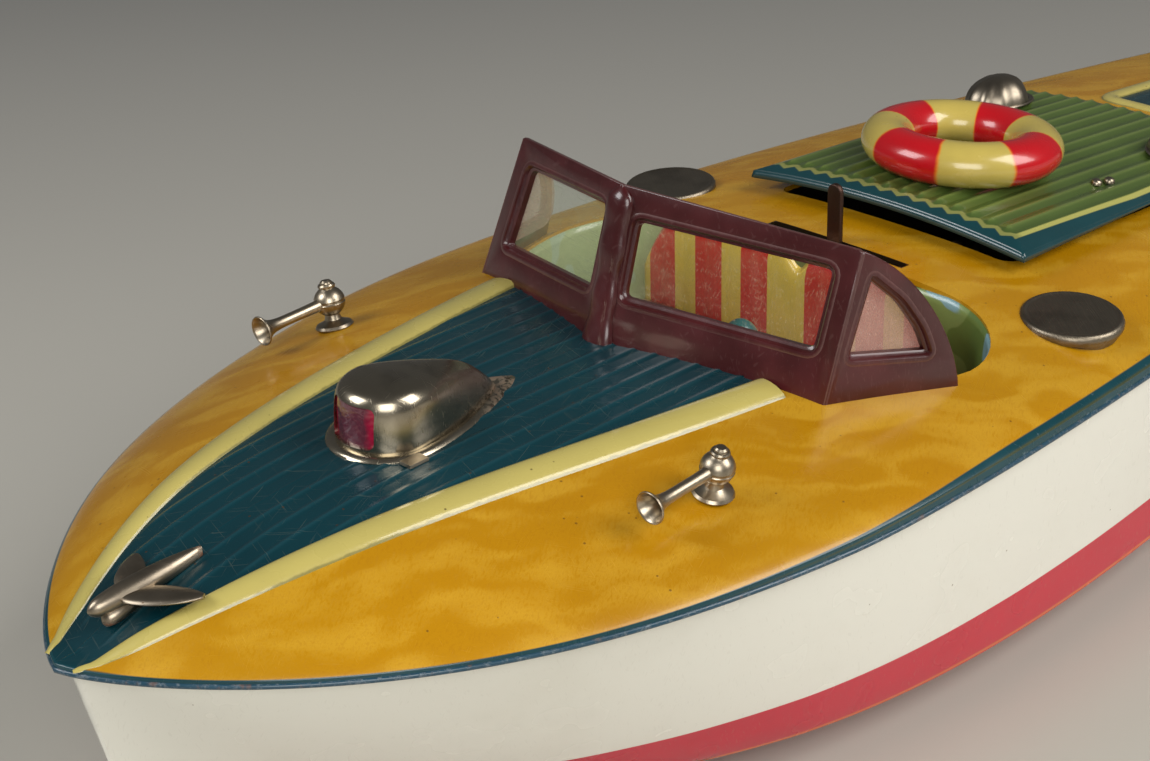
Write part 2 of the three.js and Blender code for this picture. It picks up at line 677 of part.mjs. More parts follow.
function ventDome(radius, height, foot) {
  const profile = [[0, foot], [radius, foot]];
  for (let k = 0; k < 4; k++) profile.push([radius * cos((k * PI) / 8), height * sin((k * PI) / 8)]);
  profile.push([0, height]);
  return solid(turned(profile, 18).scale(0.8, 1.15, 1));
}

// A clamshell cowl, open aft.
function buildVent(side, name) {
  const x = side * 20;
  const seat = seatOn(new THREE.Vector3(x, 229, lidHeight(x, 229) + 0.95), side * 0.1);
  seat.rotation.x = -0.06;
  const mouth = solid(box(20, 10, 20, 0, 7.6, 10.6));
  const flange = new THREE.CylinderGeometry(7.6, 7.6, 0.6, 18).rotateX(PI / 2).scale(0.8, 1.15, 1);
  const foot = solid(flange.translate(0, 0, 0.3));
  const cowl = cut(join(ventDome(7, 6.4, 0), foot), ventDome(6.3, 5.7, -1), mouth);
  addMesh(`vent_${name}`, NICKEL, cowl, seat);
}

function buildLidPanel() {
  const ribs = [];
  for (let k = -5; k <= 5; k++) {
    const centre = k * 4;
    ribs.push(block(2, 4, (u, v, w) => {
      const s = LID_FRONT + 5.4 + (LID_LENGTH - 10.8) * v;
      const x = centre + 1.3 * u;
      return new THREE.Vector3(x, s, lidHeight(x, s) + (w ? 0.5 * (1 - u * u) + 0.05 : -0.5));
    }));
  }
  addMesh('hatch_lid', GREEN_PRINT, join(cut(lidSolid(0), lidSolid(TIN)), ...ribs));
}
buildLidPanel();

// The life ring lies on the crests of the ribs, tilted with the lid. Its underside is flat.
function buildRing() {
  const section = [];
  for (let k = 0; k <= 10; k++) {
    const angle = -0.3 * PI + (k / 10) * 1.6 * PI;
    section.push([RING_MIDDLE + RING_HALF * cos(angle), RING_RISE * sin(angle)]);
  }
  section.push(section[0]);
  const [fore, aft] = [-RING_MIDDLE, RING_MIDDLE].map((reach) => lidHeight(0, RING_STATION + reach));
  const ring = turned(section, 32).translate(0, 0, 0.55 + GAP - section[0][1]);
  ring.rotateX(-Math.atan((fore - aft) / (2 * RING_MIDDLE)));
  addMesh('life_ring', RING_PRINT, ring.translate(0, RING_STATION, (fore + aft) / 2));
}
buildRing();
SIDES.forEach(([side, name]) => buildVent(side, name));

function buildRivet(name, x, station) {
  const head = turned([[0, 0], [0.9, 0], [0.8, 0.45], [0.4, 0.75], [0, 0.8]], 10);
  addMesh(name, NICKEL, head.translate(x, station, lidHeight(x, station) + 0.55 + GAP));
}
buildRivet('lid_rivet_fore', 20.4, 200.6);
buildRivet('lid_rivet_aft', 21.2, 203.4);

// A spring clip that hangs from the lid and grips the edge of the hatchway.
function buildClip(side, name) {
  const clip = outline([[0, 0], [0.6, 0], [0.6, -7], [1.2, -8.4], [0.6, -9.8], [0, -8.6]]);
  const strip = plate(clip, 6).applyMatrix4(new THREE.Matrix4().set(
    side, 0, 0, side * 23.2,
    0, 0, 1, 192,
    0, 1, 0, lidHeight(23, 195) - 2.6,
    0, 0, 0, 1,
  ));
  addMesh(`lid_clip_${name}`, TINPLATE, strip);
}
SIDES.forEach(([side, name]) => buildClip(side, name));

// ---- motor and propeller shaft, along the shaft line ----
const addToDrive = (name, look, shape) => addMesh(name, look, shape, driveLine);

function buildMotor() {
  const can = [[0, -82], [3, -82], [3, -80.5], [11, -80.5], [11, -53], [10.2, -53], [10.2, -79.7]];
  addToDrive('motor_can', TINPLATE, turned([...can, [0, -79.7]], 28));
  const cap = [[1.7, -52.7], [11, -52.7], [11, -51.4], [3.4, -51.4], [3.4, -49.6], [1.7, -49.6]];
  addToDrive('motor_end_cap', BLACK_STEEL, turned([...cap, cap[0]], 28));
  const bracket = outline([[-14, -15.5], [14, -15.5], [14, 4], [6, 12], [-6, 12], [-14, 4]]);
  bracket.holes.push(new THREE.Path().absarc(0, 0, 3.3, 0, 2 * PI));
  addToDrive('motor_bracket', TINPLATE, plate(bracket, 1).translate(0, 0, -81.9).rotateZ(PI));
}
buildMotor();

function buildShaft() {
  const rotor = [[0, -78], [1, -78], [1, -74], [7.5, -74], [7.5, -58], [1, -58], [1, -41], [0, -41]];
  addToDrive('motor_rotor', DARK_STEEL, turned(rotor, 20));
  const sleeve = [[1.3, -45], [2.4, -45], [2.4, -35], [1.3, -35], [1.3, -45]];
  addToDrive('shaft_coupling', BRASS, turned(sleeve, 16));
  const shaft = [[0, -40.4], [SHAFT_RADIUS, -40.4], [SHAFT_RADIUS, 4], [0, 4]];
  addToDrive('propeller_shaft', TINPLATE, turned(shaft, 14));
  const tube = [[1.35, -33], [2, -33], [2, -4], [1.35, -4], [1.35, -33]];
  addToDrive('stern_tube', BRASS, turned(tube, 16));
}
buildShaft();

function buildPropeller() {
  const hub = solid(turned([[1.3, -2.6], [2.4, -2.4], [2.4, 2.4], [1.3, 2.6], [1.3, -2.6]], 18));
  const blades = [0, 1, 2].map((k) => {
    const shape = new THREE.Shape();
    shape.moveTo(-1, 1.6);
    shape.bezierCurveTo(-4.6, 4, -4.4, PROPELLER_RADIUS - 0.4, 0, PROPELLER_RADIUS);
    shape.bezierCurveTo(4.4, PROPELLER_RADIUS - 0.4, 4.6, 4, 1, 1.6);
    const blade = plate(shape, 0.7).translate(0, 0, -0.35).rotateY(0.5);
    return solid(blade.rotateZ((k * 2 * PI) / 3));
  });
  const bore = solid(new THREE.CylinderGeometry(1.3, 1.3, 12, 18).rotateX(PI / 2));
  addToDrive('propeller', BRASS, cut(join(hub, ...blades), bore));
  addToDrive('propeller_nut', BRASS, turned([[1.3, 2.9], [2, 2.9], [2, 4.4], [1.3, 4.4], [1.3, 2.9]], 6));
}
buildPropeller();

// ---- rudder ----
function buildRudderBracket() {
  const arm = join(
    solid(box(10, 1, 11).rotateX(-0.181).translate(0, 343.2, BRACKET_HEIGHT)),
    solid(box(5, RUDDER_STATION - 340.4, 1.6, 0, (RUDDER_STATION + 346.6) / 2, BRACKET_HEIGHT)),
  );
  const bore = new THREE.CylinderGeometry(1.3, 1.3, 10, 16).rotateX(PI / 2);
  const pivot = solid(bore.translate(0, RUDDER_STATION, BRACKET_HEIGHT));
  addMesh('rudder_bracket', BRASS, cut(arm, pivot));
}
buildRudderBracket();

function buildRudder() {
  const seat = seatOn(new THREE.Vector3(0, RUDDER_STATION, 0));
  const lowCollar = [[1, 22], [1.9, 22.1], [1.9, 22.9], [1, 22.9]];
  const highCollar = [[1, 25.1], [1.9, 25.1], [1.9, 25.9], [1, 25.9]];
  const stock = [[0, 4], [1, 4], ...lowCollar, ...highCollar, [1, 32], [0, 32.2]];
  addMesh('rudder_stock', DARK_STEEL, turned(stock, 14), seat);
  const blade = new THREE.Shape();
  blade.moveTo(1.35, 5);
  blade.lineTo(6, 3.4);
  blade.quadraticCurveTo(8, 4.4, 8, 9);
  blade.lineTo(8, 12);
  blade.quadraticCurveTo(8, 18.5, 1.35, 20);
  const vane = solid(standAlong(plate(blade, 0.8), -0.4));
  const sleeve = solid(turned([[1.3, 5], [2, 5], [2, 20], [1.3, 20], [1.3, 5]], 14));
  addMesh('rudder_blade', BRASS, join(vane, sleeve), seat);
}
buildRudder();

export default boat;
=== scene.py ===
import json
import math

import bmesh
import bpy
import numpy as np
from mathutils import Matrix, Vector


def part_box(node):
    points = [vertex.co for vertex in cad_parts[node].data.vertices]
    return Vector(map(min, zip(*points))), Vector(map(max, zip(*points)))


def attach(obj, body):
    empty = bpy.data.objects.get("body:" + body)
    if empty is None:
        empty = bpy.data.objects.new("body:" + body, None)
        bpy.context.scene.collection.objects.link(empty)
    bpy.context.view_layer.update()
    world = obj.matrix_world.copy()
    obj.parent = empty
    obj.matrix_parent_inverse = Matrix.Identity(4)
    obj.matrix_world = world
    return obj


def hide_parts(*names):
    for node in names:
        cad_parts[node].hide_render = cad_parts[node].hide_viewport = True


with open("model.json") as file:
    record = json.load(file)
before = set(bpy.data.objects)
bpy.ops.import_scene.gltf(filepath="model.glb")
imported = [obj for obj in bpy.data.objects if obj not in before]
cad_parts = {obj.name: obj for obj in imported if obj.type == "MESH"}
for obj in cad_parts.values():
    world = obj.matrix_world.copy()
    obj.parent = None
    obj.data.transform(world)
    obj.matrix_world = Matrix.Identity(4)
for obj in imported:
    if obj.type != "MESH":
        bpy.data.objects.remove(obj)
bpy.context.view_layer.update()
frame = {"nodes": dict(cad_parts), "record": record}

# Places are given in millimetres by station, the distance aft of the bow; +X is port.
OVERALL = 368.0
DECK_LENGTH = 345.0
RIM_HEIGHT = 43.0
RIB_PITCH = 3.35
HORN = (39.8, 79.3)
LAMP_STATION = 56.3
SLOT_STATION = 154.3
CAP = (42.7, 160.4)
SEAT_FLOOR = 30.4
LID_START, LID_LENGTH = 167, 81
RING_STATION = 189.2
VENT = (20, 229)
PROPELLER_STATION = 350
RUDDER_STATION = 360
FULL_TURN = 2 * math.pi


def metres(points):
    return (np.asarray(points, float) - [0, OVERALL / 2, 0]) * 0.001


def srgb(r, g, b):
    """A colour given as 0 to 255 per channel, in linear light."""
    return tuple((c / 12.92 if c <= 0.04045 else ((c + 0.055) / 1.055) ** 2.4)
                 for c in (r / 255, g / 255, b / 255))


# ---- the lines of the boat, the same as the CAD part's ----

def smoothstep(value, low, high):
    t = np.clip((value - low) / (high - low), 0, 1)
    return t * t * (3 - 2 * t)


def half_breadth(s):
    fullness = np.tanh((np.maximum(s, 0) / 55) ** 0.76)
    return 62.8 * fullness * (1 - 0.47 * (np.maximum(0, s - 90) / 265) ** 1.25)


def rim_height(s):
    return RIM_HEIGHT + 0.5 * (1 - np.exp(-s / 30)) - 12 * (np.maximum(0, s - 110) / 245) ** 1.6


def deck_height(x, s):
    x, s = np.asarray(x, float), np.asarray(s, float)
    breadth = np.maximum(half_breadth(s), 0.01)
    edge = 1.4 + 1.2 * smoothstep(s, 40, 110)
    crown = np.maximum(11.7 * np.tanh(s / 29) * (1 - 0.0021 * s) + 1.9 * (1 - np.exp(-s / 30)), edge)
    camber = (crown - edge) * (1 - np.minimum(abs(x) / breadth, 1) ** 2.6)
    inboard = np.minimum(np.minimum(np.maximum(breadth - abs(x), 0), s + 0.2), 3)
    roll = 0.25 * edge * (1 - np.sqrt(np.maximum(0, 1 - (1 - inboard / 3) ** 2)))
    return rim_height(s) + edge + camber - roll


def lid_height(x, s):
    """The crowned lid, which stands above the deck and sinks a little aft."""
    return deck_height(0, s) + 5.8 - 0.018 * (s - LID_START) - 1.3 * (abs(x) / 23) ** 2


def around(count):
    """Evenly spread angles, once round."""
    return np.linspace(0, FULL_TURN, count, endpoint=False)


# ---- shaders ----

class Num:
    """A number in a material's node tree, with the usual arithmetic."""

    def __init__(self, shade, socket):
        self.shade, self.socket = shade, socket

    def __add__(self, other):
        return self.shade.math("ADD", self, other)

    def __sub__(self, other):
        return self.shade.math("SUBTRACT", self, other)

    def __rsub__(self, other):
        return self.shade.math("SUBTRACT", other, self)

    def __mul__(self, other):
        return self.shade.math("MULTIPLY", self, other)

    def __abs__(self):
        return self.shade.math("ABSOLUTE", self)

    def __pow__(self, other):
        return self.shade.math("POWER", self, other)

    __radd__, __rmul__ = __add__, __mul__


class Shade:
    """A material built by short calls. Lengths in it are millimetres in the part's frame."""

    def __init__(self, name):
        self.material = bpy.data.materials.new(name)
        self.material.use_nodes = True
        self.tree = self.material.node_tree
        self.bsdf = self.tree.nodes["Principled BSDF"]
        self.output = self.tree.nodes["Material Output"]
        where = self.node("ShaderNodeTexCoord").outputs["Object"]
        scaled = self.node("ShaderNodeVectorMath", operation="SCALE")
        self.tree.links.new(where, scaled.inputs[0])
        scaled.inputs["Scale"].default_value = 1000
        self.mm = scaled.outputs[0]
        parts = self.node("ShaderNodeSeparateXYZ")
        self.tree.links.new(self.mm, parts.inputs[0])
        self.x, y, self.z = (Num(self, o) for o in parts.outputs)
        self.s = y + OVERALL / 2

    def node(self, kind, **settings):
        made = self.tree.nodes.new(kind)
        for key, value in settings.items():
            setattr(made, key, value)
        return made

    def plug(self, socket, value):
        if isinstance(value, Num):
            value = value.socket
        if isinstance(value, bpy.types.NodeSocket):
            self.tree.links.new(value, socket)
        elif isinstance(value, tuple) and len(value) == 3 and socket.type == "RGBA":
            socket.default_value = (*value, 1)
        else:
            socket.default_value = value

    def math(self, operation, a, b=0.0):
        made = self.node("ShaderNodeMath", operation=operation)
        for socket, value in zip(made.inputs, (a, b)):
            self.plug(socket, value)
        return Num(self, made.outputs[0])

    def step(self, value, low, high):
        """0 below low, 1 above high, smooth between. low may be the larger."""
        made = self.node("ShaderNodeMapRange", interpolation_type="SMOOTHSTEP")
        flip = low > high
        self.plug(made.inputs["Value"], value)
        made.inputs["From Min"].default_value = min(low, high)
        made.inputs["From Max"].default_value = max(low, high)
        made.inputs["To Min"].default_value = 1.0 if flip else 0.0
        made.inputs["To Max"].default_value = 0.0 if flip else 1.0
        return Num(self, made.outputs["Result"])

    def ridge(self, value, centre, half):
        """1 at the centre, falling smoothly to 0 at centre plus or minus half."""
        return self.step(abs(value - centre), half, 0.0)

    def place(self, turn=0.0, stretch=(1, 1, 1), shift=(0, 0, 0), warp=None):
        """Millimetre coordinates turned about z, then stretched, for a texture."""
        made = self.node("ShaderNodeMapping", vector_type="TEXTURE")
        self.tree.links.new(warp or self.mm, made.inputs["Vector"])
        made.inputs["Rotation"].default_value = (0, 0, turn)
        made.inputs["Scale"].default_value = stretch
        made.inputs["Location"].default_value = shift
        return made.outputs[0]

    def noise(self, size, detail=2.0, rough=0.5, distort=0.0, at=None):
        made = self.node("ShaderNodeTexNoise")
        self.tree.links.new(at or self.mm, made.inputs["Vector"])
        made.inputs["Scale"].default_value = 1 / size
        made.inputs["Detail"].default_value = detail
        made.inputs["Roughness"].default_value = rough
        made.inputs["Distortion"].default_value = distort
        return Num(self, made.outputs["Fac"])

    def cells(self, size, at):
        """Distance from the middle of the nearest of scattered cells."""
        made = self.node("ShaderNodeTexVoronoi")
        self.tree.links.new(at, made.inputs["Vector"])
        made.inputs["Scale"].default_value = 1 / size
        return Num(self, made.outputs["Distance"])

    def warped(self, size, amount):
        """The millimetre coordinates pushed about by a soft noise."""
        made = self.node("ShaderNodeTexNoise")
        self.tree.links.new(self.mm, made.inputs["Vector"])
        made.inputs["Scale"].default_value = 1 / size
        push = self.node("ShaderNodeVectorMath", operation="MULTIPLY_ADD")
        self.tree.links.new(made.outputs["Color"], push.inputs[0])
        push.inputs[1].default_value = (amount, amount, amount)
        self.tree.links.new(self.mm, push.inputs[2])
        return push.outputs[0]

    def own(self, name):
        """A value that the mesh carries at its points."""
        made = self.node("ShaderNodeAttribute", attribute_name=name)
        return Num(self, made.outputs["Fac"])

    def mix(self, share, a, b):
        made = self.node("ShaderNodeMix", data_type="RGBA")
        self.plug(made.inputs[0], share)
        self.plug(made.inputs[6], a)
        self.plug(made.inputs[7], b)
        return made.outputs[2]

    def scale(self, colour, amount):
        """The colour made darker or lighter by a number."""
        made = self.node("ShaderNodeVectorMath", operation="SCALE")
        self.plug(made.inputs[0], colour)
        self.plug(made.inputs["Scale"], amount)
        return made.outputs[0]

    def bump(self, height):
        """A bump of a height in millimetres."""
        made = self.node("ShaderNodeBump")
        made.inputs["Strength"].default_value = 1.0
        made.inputs["Distance"].default_value = 0.001
        self.plug(made.inputs["Height"], height)
        return made.outputs[0]

    def set(self, **values):
        names = {"color": "Base Color", "rough": "Roughness", "metal": "Metallic", "normal": "Normal",
                 "coat": "Coat Weight", "coat_rough": "Coat Roughness", "alpha": "Alpha", "ior": "IOR",
                 "through": "Transmission Weight", "shine": "Specular IOR Level"}
        for key, value in values.items():
            self.plug(self.bsdf.inputs[names[key]], value)
        return self.material


def scratches(shade, amount, turns=(0.5, 1.9), size=1.1):
    """Fine sparse hairlines, as a number from 0 to 1."""
    total = None
    for turn in turns:
        line = shade.noise(size, 0, at=shade.place(turn, (0.16, 9, 1), (turn * 31, 0, 0)))
        seen = shade.step(line, 0.74 - amount, 0.80 - amount)
        total = seen if total is None else shade.math("MAXIMUM", total, seen)
    return total


def specks(shade, size, share, seed=0.0):
    """Small round spots in a share of the cells."""
    at = shade.place(0.3, (1, 1, 1), (seed, seed * 2, 0))
    return shade.step(shade.cells(size, at), share, share * 0.6)


def enamel(name, colour, rough=0.28, coat=0.5, tone=0.1, wear=0.3, dark=(0.05, 0.045, 0.035), wave=0.02):
    """Old gloss enamel: uneven tone, dust specks, hairlines and a slightly wavy skin."""
    shade = Shade(name)
    patches = shade.noise(16, 3) * tone + (1 - tone / 2)
    base = shade.scale(colour, patches)
    spots = specks(shade, 2.6, 0.085) * wear
    base = shade.mix(spots, base, dark)
    marks = scratches(shade, 0.0) * (wear * 0.5)
    pale = tuple(min(1, c * 1.6 + 0.04) for c in colour)
    base = shade.mix(marks, base, pale)
    skin = shade.bump(shade.noise(2.4, 2) * wave + spots * 0.03 - marks * 0.015)
    roughness = shade.noise(7, 3) * 0.16 + (rough - 0.08) + marks * 0.25
    return shade.set(color=base, rough=roughness, coat=coat, coat_rough=0.12, normal=skin)


def nickel(name, tint=(172, 163, 146), rough=0.26, rust=0.3, brushed=0.0):
    """Dull nickel plate with faint tarnish, pin-holes of rust and fine handling marks."""
    shade = Shade(name)
    tarnish = shade.noise(6, 3, 0.5)
    base = shade.mix(shade.step(tarnish, 0.42, 0.7), srgb(*tint), srgb(*(c * 0.84 for c in tint)))
    pits = specks(shade, 2.2, 0.09, 4.0) * shade.step(shade.noise(8, 2), 0.45, 0.7)
    base = shade.mix(pits * rust, base, srgb(88, 52, 30))
    marks = scratches(shade, -0.02, (0.2, 1.2, 2.3), 1.1)
    grain = shade.noise(0.5, 2, at=shade.place(0.9, (0.25, 14, 1)))
    height = tarnish * 0.01 - pits * 0.02 * rust - marks * 0.004 + grain * (0.05 * brushed)
    roughness = tarnish * 0.1 + (rough - 0.05) + pits * 0.2 + marks * 0.08 + grain * (0.2 * brushed)
    rusted = shade.own("rust") * shade.step(shade.noise(1.3, 4, 0.7), 0.42, 0.6)
    base = shade.mix(rusted * 0.85, base, srgb(112, 62, 34))
    return shade.set(color=base, rough=roughness + rusted * 0.3, metal=1.0 - rusted * 0.8,
                     normal=shade.bump(height + rusted * 0.05))


def metal(name, tint, rough=0.35, grime=0.4, turn=0.0):
    """Drawn or pressed metal: fine grain lines along one way, and dull grime."""
    shade = Shade(name)
    dirt = shade.noise(4, 4, 0.6)
    grain = shade.noise(0.6, 3, at=shade.place(turn, (0.3, 10, 1)))
    base = shade.mix(shade.step(dirt, 0.5, 0.8) * grime, srgb(*tint), srgb(*(c * 0.5 for c in tint)))
    base = shade.scale(base, grain * 0.25 + 0.87)
    return shade.set(color=base, rough=dirt * 0.3 + rough - 0.1, metal=1.0,
                     normal=shade.bump(grain * 0.03 + dirt * 0.02))


WOOD, WOOD_LIGHT, WOOD_DARK = srgb(182, 130, 8), srgb(212, 168, 52), srgb(162, 106, 4)
TEAL, TEAL_RIM = srgb(8, 50, 58), srgb(16, 62, 70)
CREAM = srgb(184, 170, 94)
OLIVE = srgb(70, 72, 40)


def wood(shade):
    """Wood-grain print: pale flames whose edges break into fine slanting strokes."""
    strokes = shade.noise(0.3, 2, 0.55, at=shade.place(0.62, (1, 8, 1)))
    along = shade.place(-0.5, (1, 3.0, 1), warp=shade.warped(18, 10))
    flames = shade.noise(4.6, 1, 0.4, 0.4, at=along)
    pale = shade.step(flames + (strokes - 0.5) * 0.5, 0.4, 0.66)
    broad = shade.noise(40, 1, at=shade.place(-0.3, (1, 1.6, 1)))
    base = shade.mix(shade.step(broad, 0.4, 0.62) * 0.25, WOOD, WOOD_DARK)
    base = shade.mix(pale * 0.42, base, WOOD_LIGHT)
    lines = shade.step(strokes, 0.5, 0.66) * 0.28
    return shade.mix(lines, base, WOOD_DARK)


def deck_paint():
    """The deck's whole print: wood, teal panels with ribs, a teal band with its line; painted shade in the
    dark slot, a painted highlight on the rib crests.
    """
    shade = Shade("deck_print_and_painted_light")
    grain = wood(shade)
    panel = shade.own("panel")
    edge, wall = shade.own("edge"), shade.own("wall")
    half_pitch = RIB_PITCH / 2
    across = shade.math("PINGPONG", abs(shade.x) + 0.4 + half_pitch, half_pitch)
    ribs = shade.step(across, half_pitch - 0.55, half_pitch) * shade.step(panel, 2.4, 3.4)
    dusty = shade.noise(1.2, 4, 0.7, at=shade.place(0, (1, 3, 1)))
    teal = shade.scale(TEAL, shade.noise(20, 3) * 0.5 + 0.75)
    # Painted highlight: the teal is made lighter along the crests of the ribs.
    teal = shade.mix(ribs * 0.3, teal, srgb(36, 82, 92))
    teal = shade.mix(shade.step(dusty, 0.62, 0.85) * (ribs * 0.3 + 0.08), teal, srgb(92, 90, 74))
    base = shade.mix(shade.step(panel, -0.1, 0.1), grain, teal)
    hairs = scratches(shade, -0.02, (0.4, 1.3, 2.3), 1.0)
    base = shade.mix(hairs * shade.step(panel, -0.2, 0.2) * 0.1, base, srgb(140, 140, 120))
    over = shade.step(edge, 0.95, 0.8) * shade.step(shade.x, 3, 1) * shade.step(shade.s, 150, 110)
    band = shade.math("MAXIMUM", shade.step(wall, 0.07, -0.07), over)
    rim = shade.scale(TEAL_RIM, shade.noise(9, 3) * 0.5 + 0.75)
    line = shade.ridge(wall, -0.8, 0.3) * shade.step(shade.s, 55, 100)
    rim = shade.mix(line * 0.85, rim, OLIVE)
    worn = shade.step(shade.noise(1.6, 4, 0.7) + shade.step(wall, -1.6, -2.6) * 0.2, 0.64, 0.8)
    rim = shade.mix(worn * 0.75, rim, srgb(120, 140, 150))
    base = shade.mix(band, base, rim)
    spots = specks(shade, 3.2, 0.07, 2.0)
    base = shade.mix(spots * 0.6, base, srgb(70, 45, 20))
    # Painted shade: the slot's walls and a thin edge round it are painted near black, as the shade inside the
    # slot.
    slot = shade.step(abs(shade.s - SLOT_STATION), 1.2, 1.0) * shade.step(abs(shade.x - 0.5), 14.35, 14.15)
    base = shade.mix(slot, base, srgb(34, 24, 14))
    base = shade.scale(base, shade.step(shade.noise(40, 2), 0.35, 0.7) * 0.1 + 0.92)
    height = shade.noise(3.0, 2) * 0.015 + spots * 0.02 + hairs * 0.002
    return shade.set(color=base, rough=shade.noise(9, 3) * 0.14 + 0.2 + hairs * 0.04, shine=0.35,
                     coat=0.25, coat_rough=0.12, normal=shade.bump(height))


def hull_paint():
    """White topsides and a red bottom, parted at the waterline, with an orange line low down."""
    shade = Shade("hull_enamel")
    grime = shade.noise(24, 4, 0.6)
    white = shade.mix(shade.step(grime, 0.45, 0.8) * 0.3, srgb(228, 226, 214), srgb(208, 204, 188))
    spots = specks(shade, 5.5, 0.035, 1.0)
    white = shade.mix(spots * 0.8, white, srgb(120, 100, 70))
    red = shade.scale(srgb(192, 18, 48), shade.noise(12, 3) * 0.16 + 0.92)
    wander = shade.noise(30, 1) * 0.5 - 0.25
    level = shade.z + wander
    base = shade.mix(shade.step(level, 16.05, 15.9), white, red)
    base = shade.mix(shade.ridge(level, 7.5, 0.55) * 0.85, base, srgb(214, 112, 48))
    hairs = scratches(shade, 0.0, (0.4, 1.5), 1.4)
    base = shade.mix(hairs * 0.07, base, srgb(150, 140, 120))
    height = shade.noise(26, 1) * 0.1 + spots * 0.04
    return shade.set(color=base, rough=shade.noise(10, 2) * 0.12 + 0.2, coat=0.5, coat_rough=0.12,
                     normal=shade.bump(height))


def cream_paint():
    """Cream enamel, darker along both edges of a moulding."""
    shade = Shade("cream_enamel")
    base = shade.scale(CREAM, shade.noise(12, 3) * 0.22 + 0.9)
    side = abs(shade.own("across"))
    # The mask below darkens the cream towards both edges of the moulding.
    edge_dark = shade.step(side + shade.noise(1.4, 3) * 0.14, 0.93, 1.0) * 0.75
    base = shade.mix(edge_dark, base, srgb(118, 112, 58))
    chips = shade.step(shade.noise(1.0, 5, 0.75), 0.68, 0.74)
    base = shade.mix(chips * 0.5, base, srgb(120, 104, 60))
    spots = specks(shade, 4.2, 0.05, 3.0)
    base = shade.mix(spots * 0.8, base, srgb(80, 66, 34))
    return shade.set(color=base, rough=shade.noise(6, 3) * 0.14 + 0.2, coat=0.7, coat_rough=0.08,
                     normal=shade.bump(shade.noise(2.5, 2) * 0.03 - chips * 0.03))


def maroon_paint():
    """Dark red enamel over dented tin, pale on its edges: partly rubbed wear, partly a painted highlight."""
    shade = Shade("maroon_enamel")
    cloudy = shade.noise(8, 3)
    base = shade.mix(shade.step(cloudy, 0.35, 0.75), srgb(58, 12, 14), srgb(74, 22, 25))
    geometry = shade.node("ShaderNodeNewGeometry")
    point = Num(shade, geometry.outputs["Pointiness"])
    # Pale edges: partly rubbed-through wear, partly a painted highlight along the sharp edges.
    edges = shade.step(point + (shade.noise(1.1, 4, 0.7) - 0.5) * 0.05, 0.545, 0.6)
    base = shade.mix(edges * 0.16, base, srgb(150, 118, 110))
    hairs = scratches(shade, 0.0, (0.3, 1.4, 2.2), 1.2)
    base = shade.mix(hairs * 0.07, base, srgb(150, 120, 118))
    height = shade.noise(3.4, 2) * 0.06 + shade.noise(9, 2) * 0.1
    return shade.set(color=base, rough=cloudy * 0.14 + 0.24 + edges * 0.15, coat=0.5, coat_rough=0.1,
                     normal=shade.bump(height))


def celluloid(name, haze, tint):
    """Hazy old celluloid: mostly clear, with milky patches, dust and hairlines."""
    shade = Shade(name)
    cloud = shade.noise(9, 3, 0.6)
    dust = specks(shade, 2.3, 0.07, 5.0)
    hairs = scratches(shade, 0.02, (0.4, 1.3, 2.4), 0.8)
    misty = shade.step(cloud, 0.35, 0.8) * 0.06
    opaque = shade.math("MINIMUM", misty + haze + dust * 0.3 + hairs * 0.12, 1.0)
    base = shade.scale(srgb(*tint), cloud * 0.4 + 0.8)
    return shade.set(color=base, rough=0.22 + hairs * 0.3, alpha=opaque, coat=0.0,
                     normal=shade.bump(shade.noise(7, 2) * 0.25))


def camouflage():
    """The cockpit's print, soft patches of greens and pale blue; over it the starboard wall is made paler."""
    shade = Shade("cockpit_print")
    at = shade.warped(9, 6)
    big = shade.noise(13, 1, at=at)
    other = shade.noise(10, 1, at=shade.place(0.7, (1, 1, 1), (40, 11, 5), warp=at))
    base = shade.mix(shade.step(big, 0.47, 0.5), srgb(98, 122, 62), srgb(124, 146, 84))
    base = shade.mix(shade.step(other, 0.60, 0.62), base, srgb(128, 166, 172))
    corner = ((shade.x - 40.5) ** 2.0 + (shade.s - 143) ** 2.0 + (shade.z - 48) ** 2.0) ** 0.5
    base = shade.mix(shade.step(corner + big * 4, 7.0, 6.4), base, srgb(128, 168, 178))
    base = shade.scale(base, shade.noise(5, 3) * 0.2 + 0.9)
    # The starboard wall is made paler, a pale green-grey.
    base = shade.mix(shade.step(shade.x, -31, -34) * 0.7, base, srgb(176, 186, 140))
    return shade.set(color=base, rough=0.32, coat=0.5, coat_rough=0.15,
                     normal=shade.bump(shade.noise(4, 2) * 0.06))


SEAT_STRIPES = [(-29.4, -24.1), (-19.7, -14.0), (-9.8, -4.1), (3.9, 10.5), (14.8, 20.4), (24.6, 30.6)]


def stripes():
    """The seat's print: upright red and cream stripes, with painted light over the cushion."""
    shade = Shade("seat_print_and_painted_light")
    red = None
    for start, end in SEAT_STRIPES:
        band = shade.step(abs(shade.x - (start + end) / 2), (end - start) / 2 + 0.1, (end - start) / 2 - 0.1)
        red = band if red is None else shade.math("MAXIMUM", red, band)
    cloudy = shade.noise(5, 3)
    cream = shade.scale(srgb(206, 176, 70), cloudy * 0.3 + 0.85)
    crimson = shade.scale(srgb(188, 6, 20), cloudy * 0.3 + 0.85)
    base = shade.mix(red, cream, crimson)
    # Painted light: the cushion in front of the back is painted pale pink over its stripes, for the pale veil
    # of light on it through the hazy pane.
    pale = shade.step(shade.s, 140.4, 140.0)
    base = shade.mix(pale * 0.8, base, srgb(222, 186, 176))
    return shade.set(color=base, rough=0.3, coat=0.5, coat_rough=0.15,
                     normal=shade.bump(shade.noise(3, 2) * 0.04))


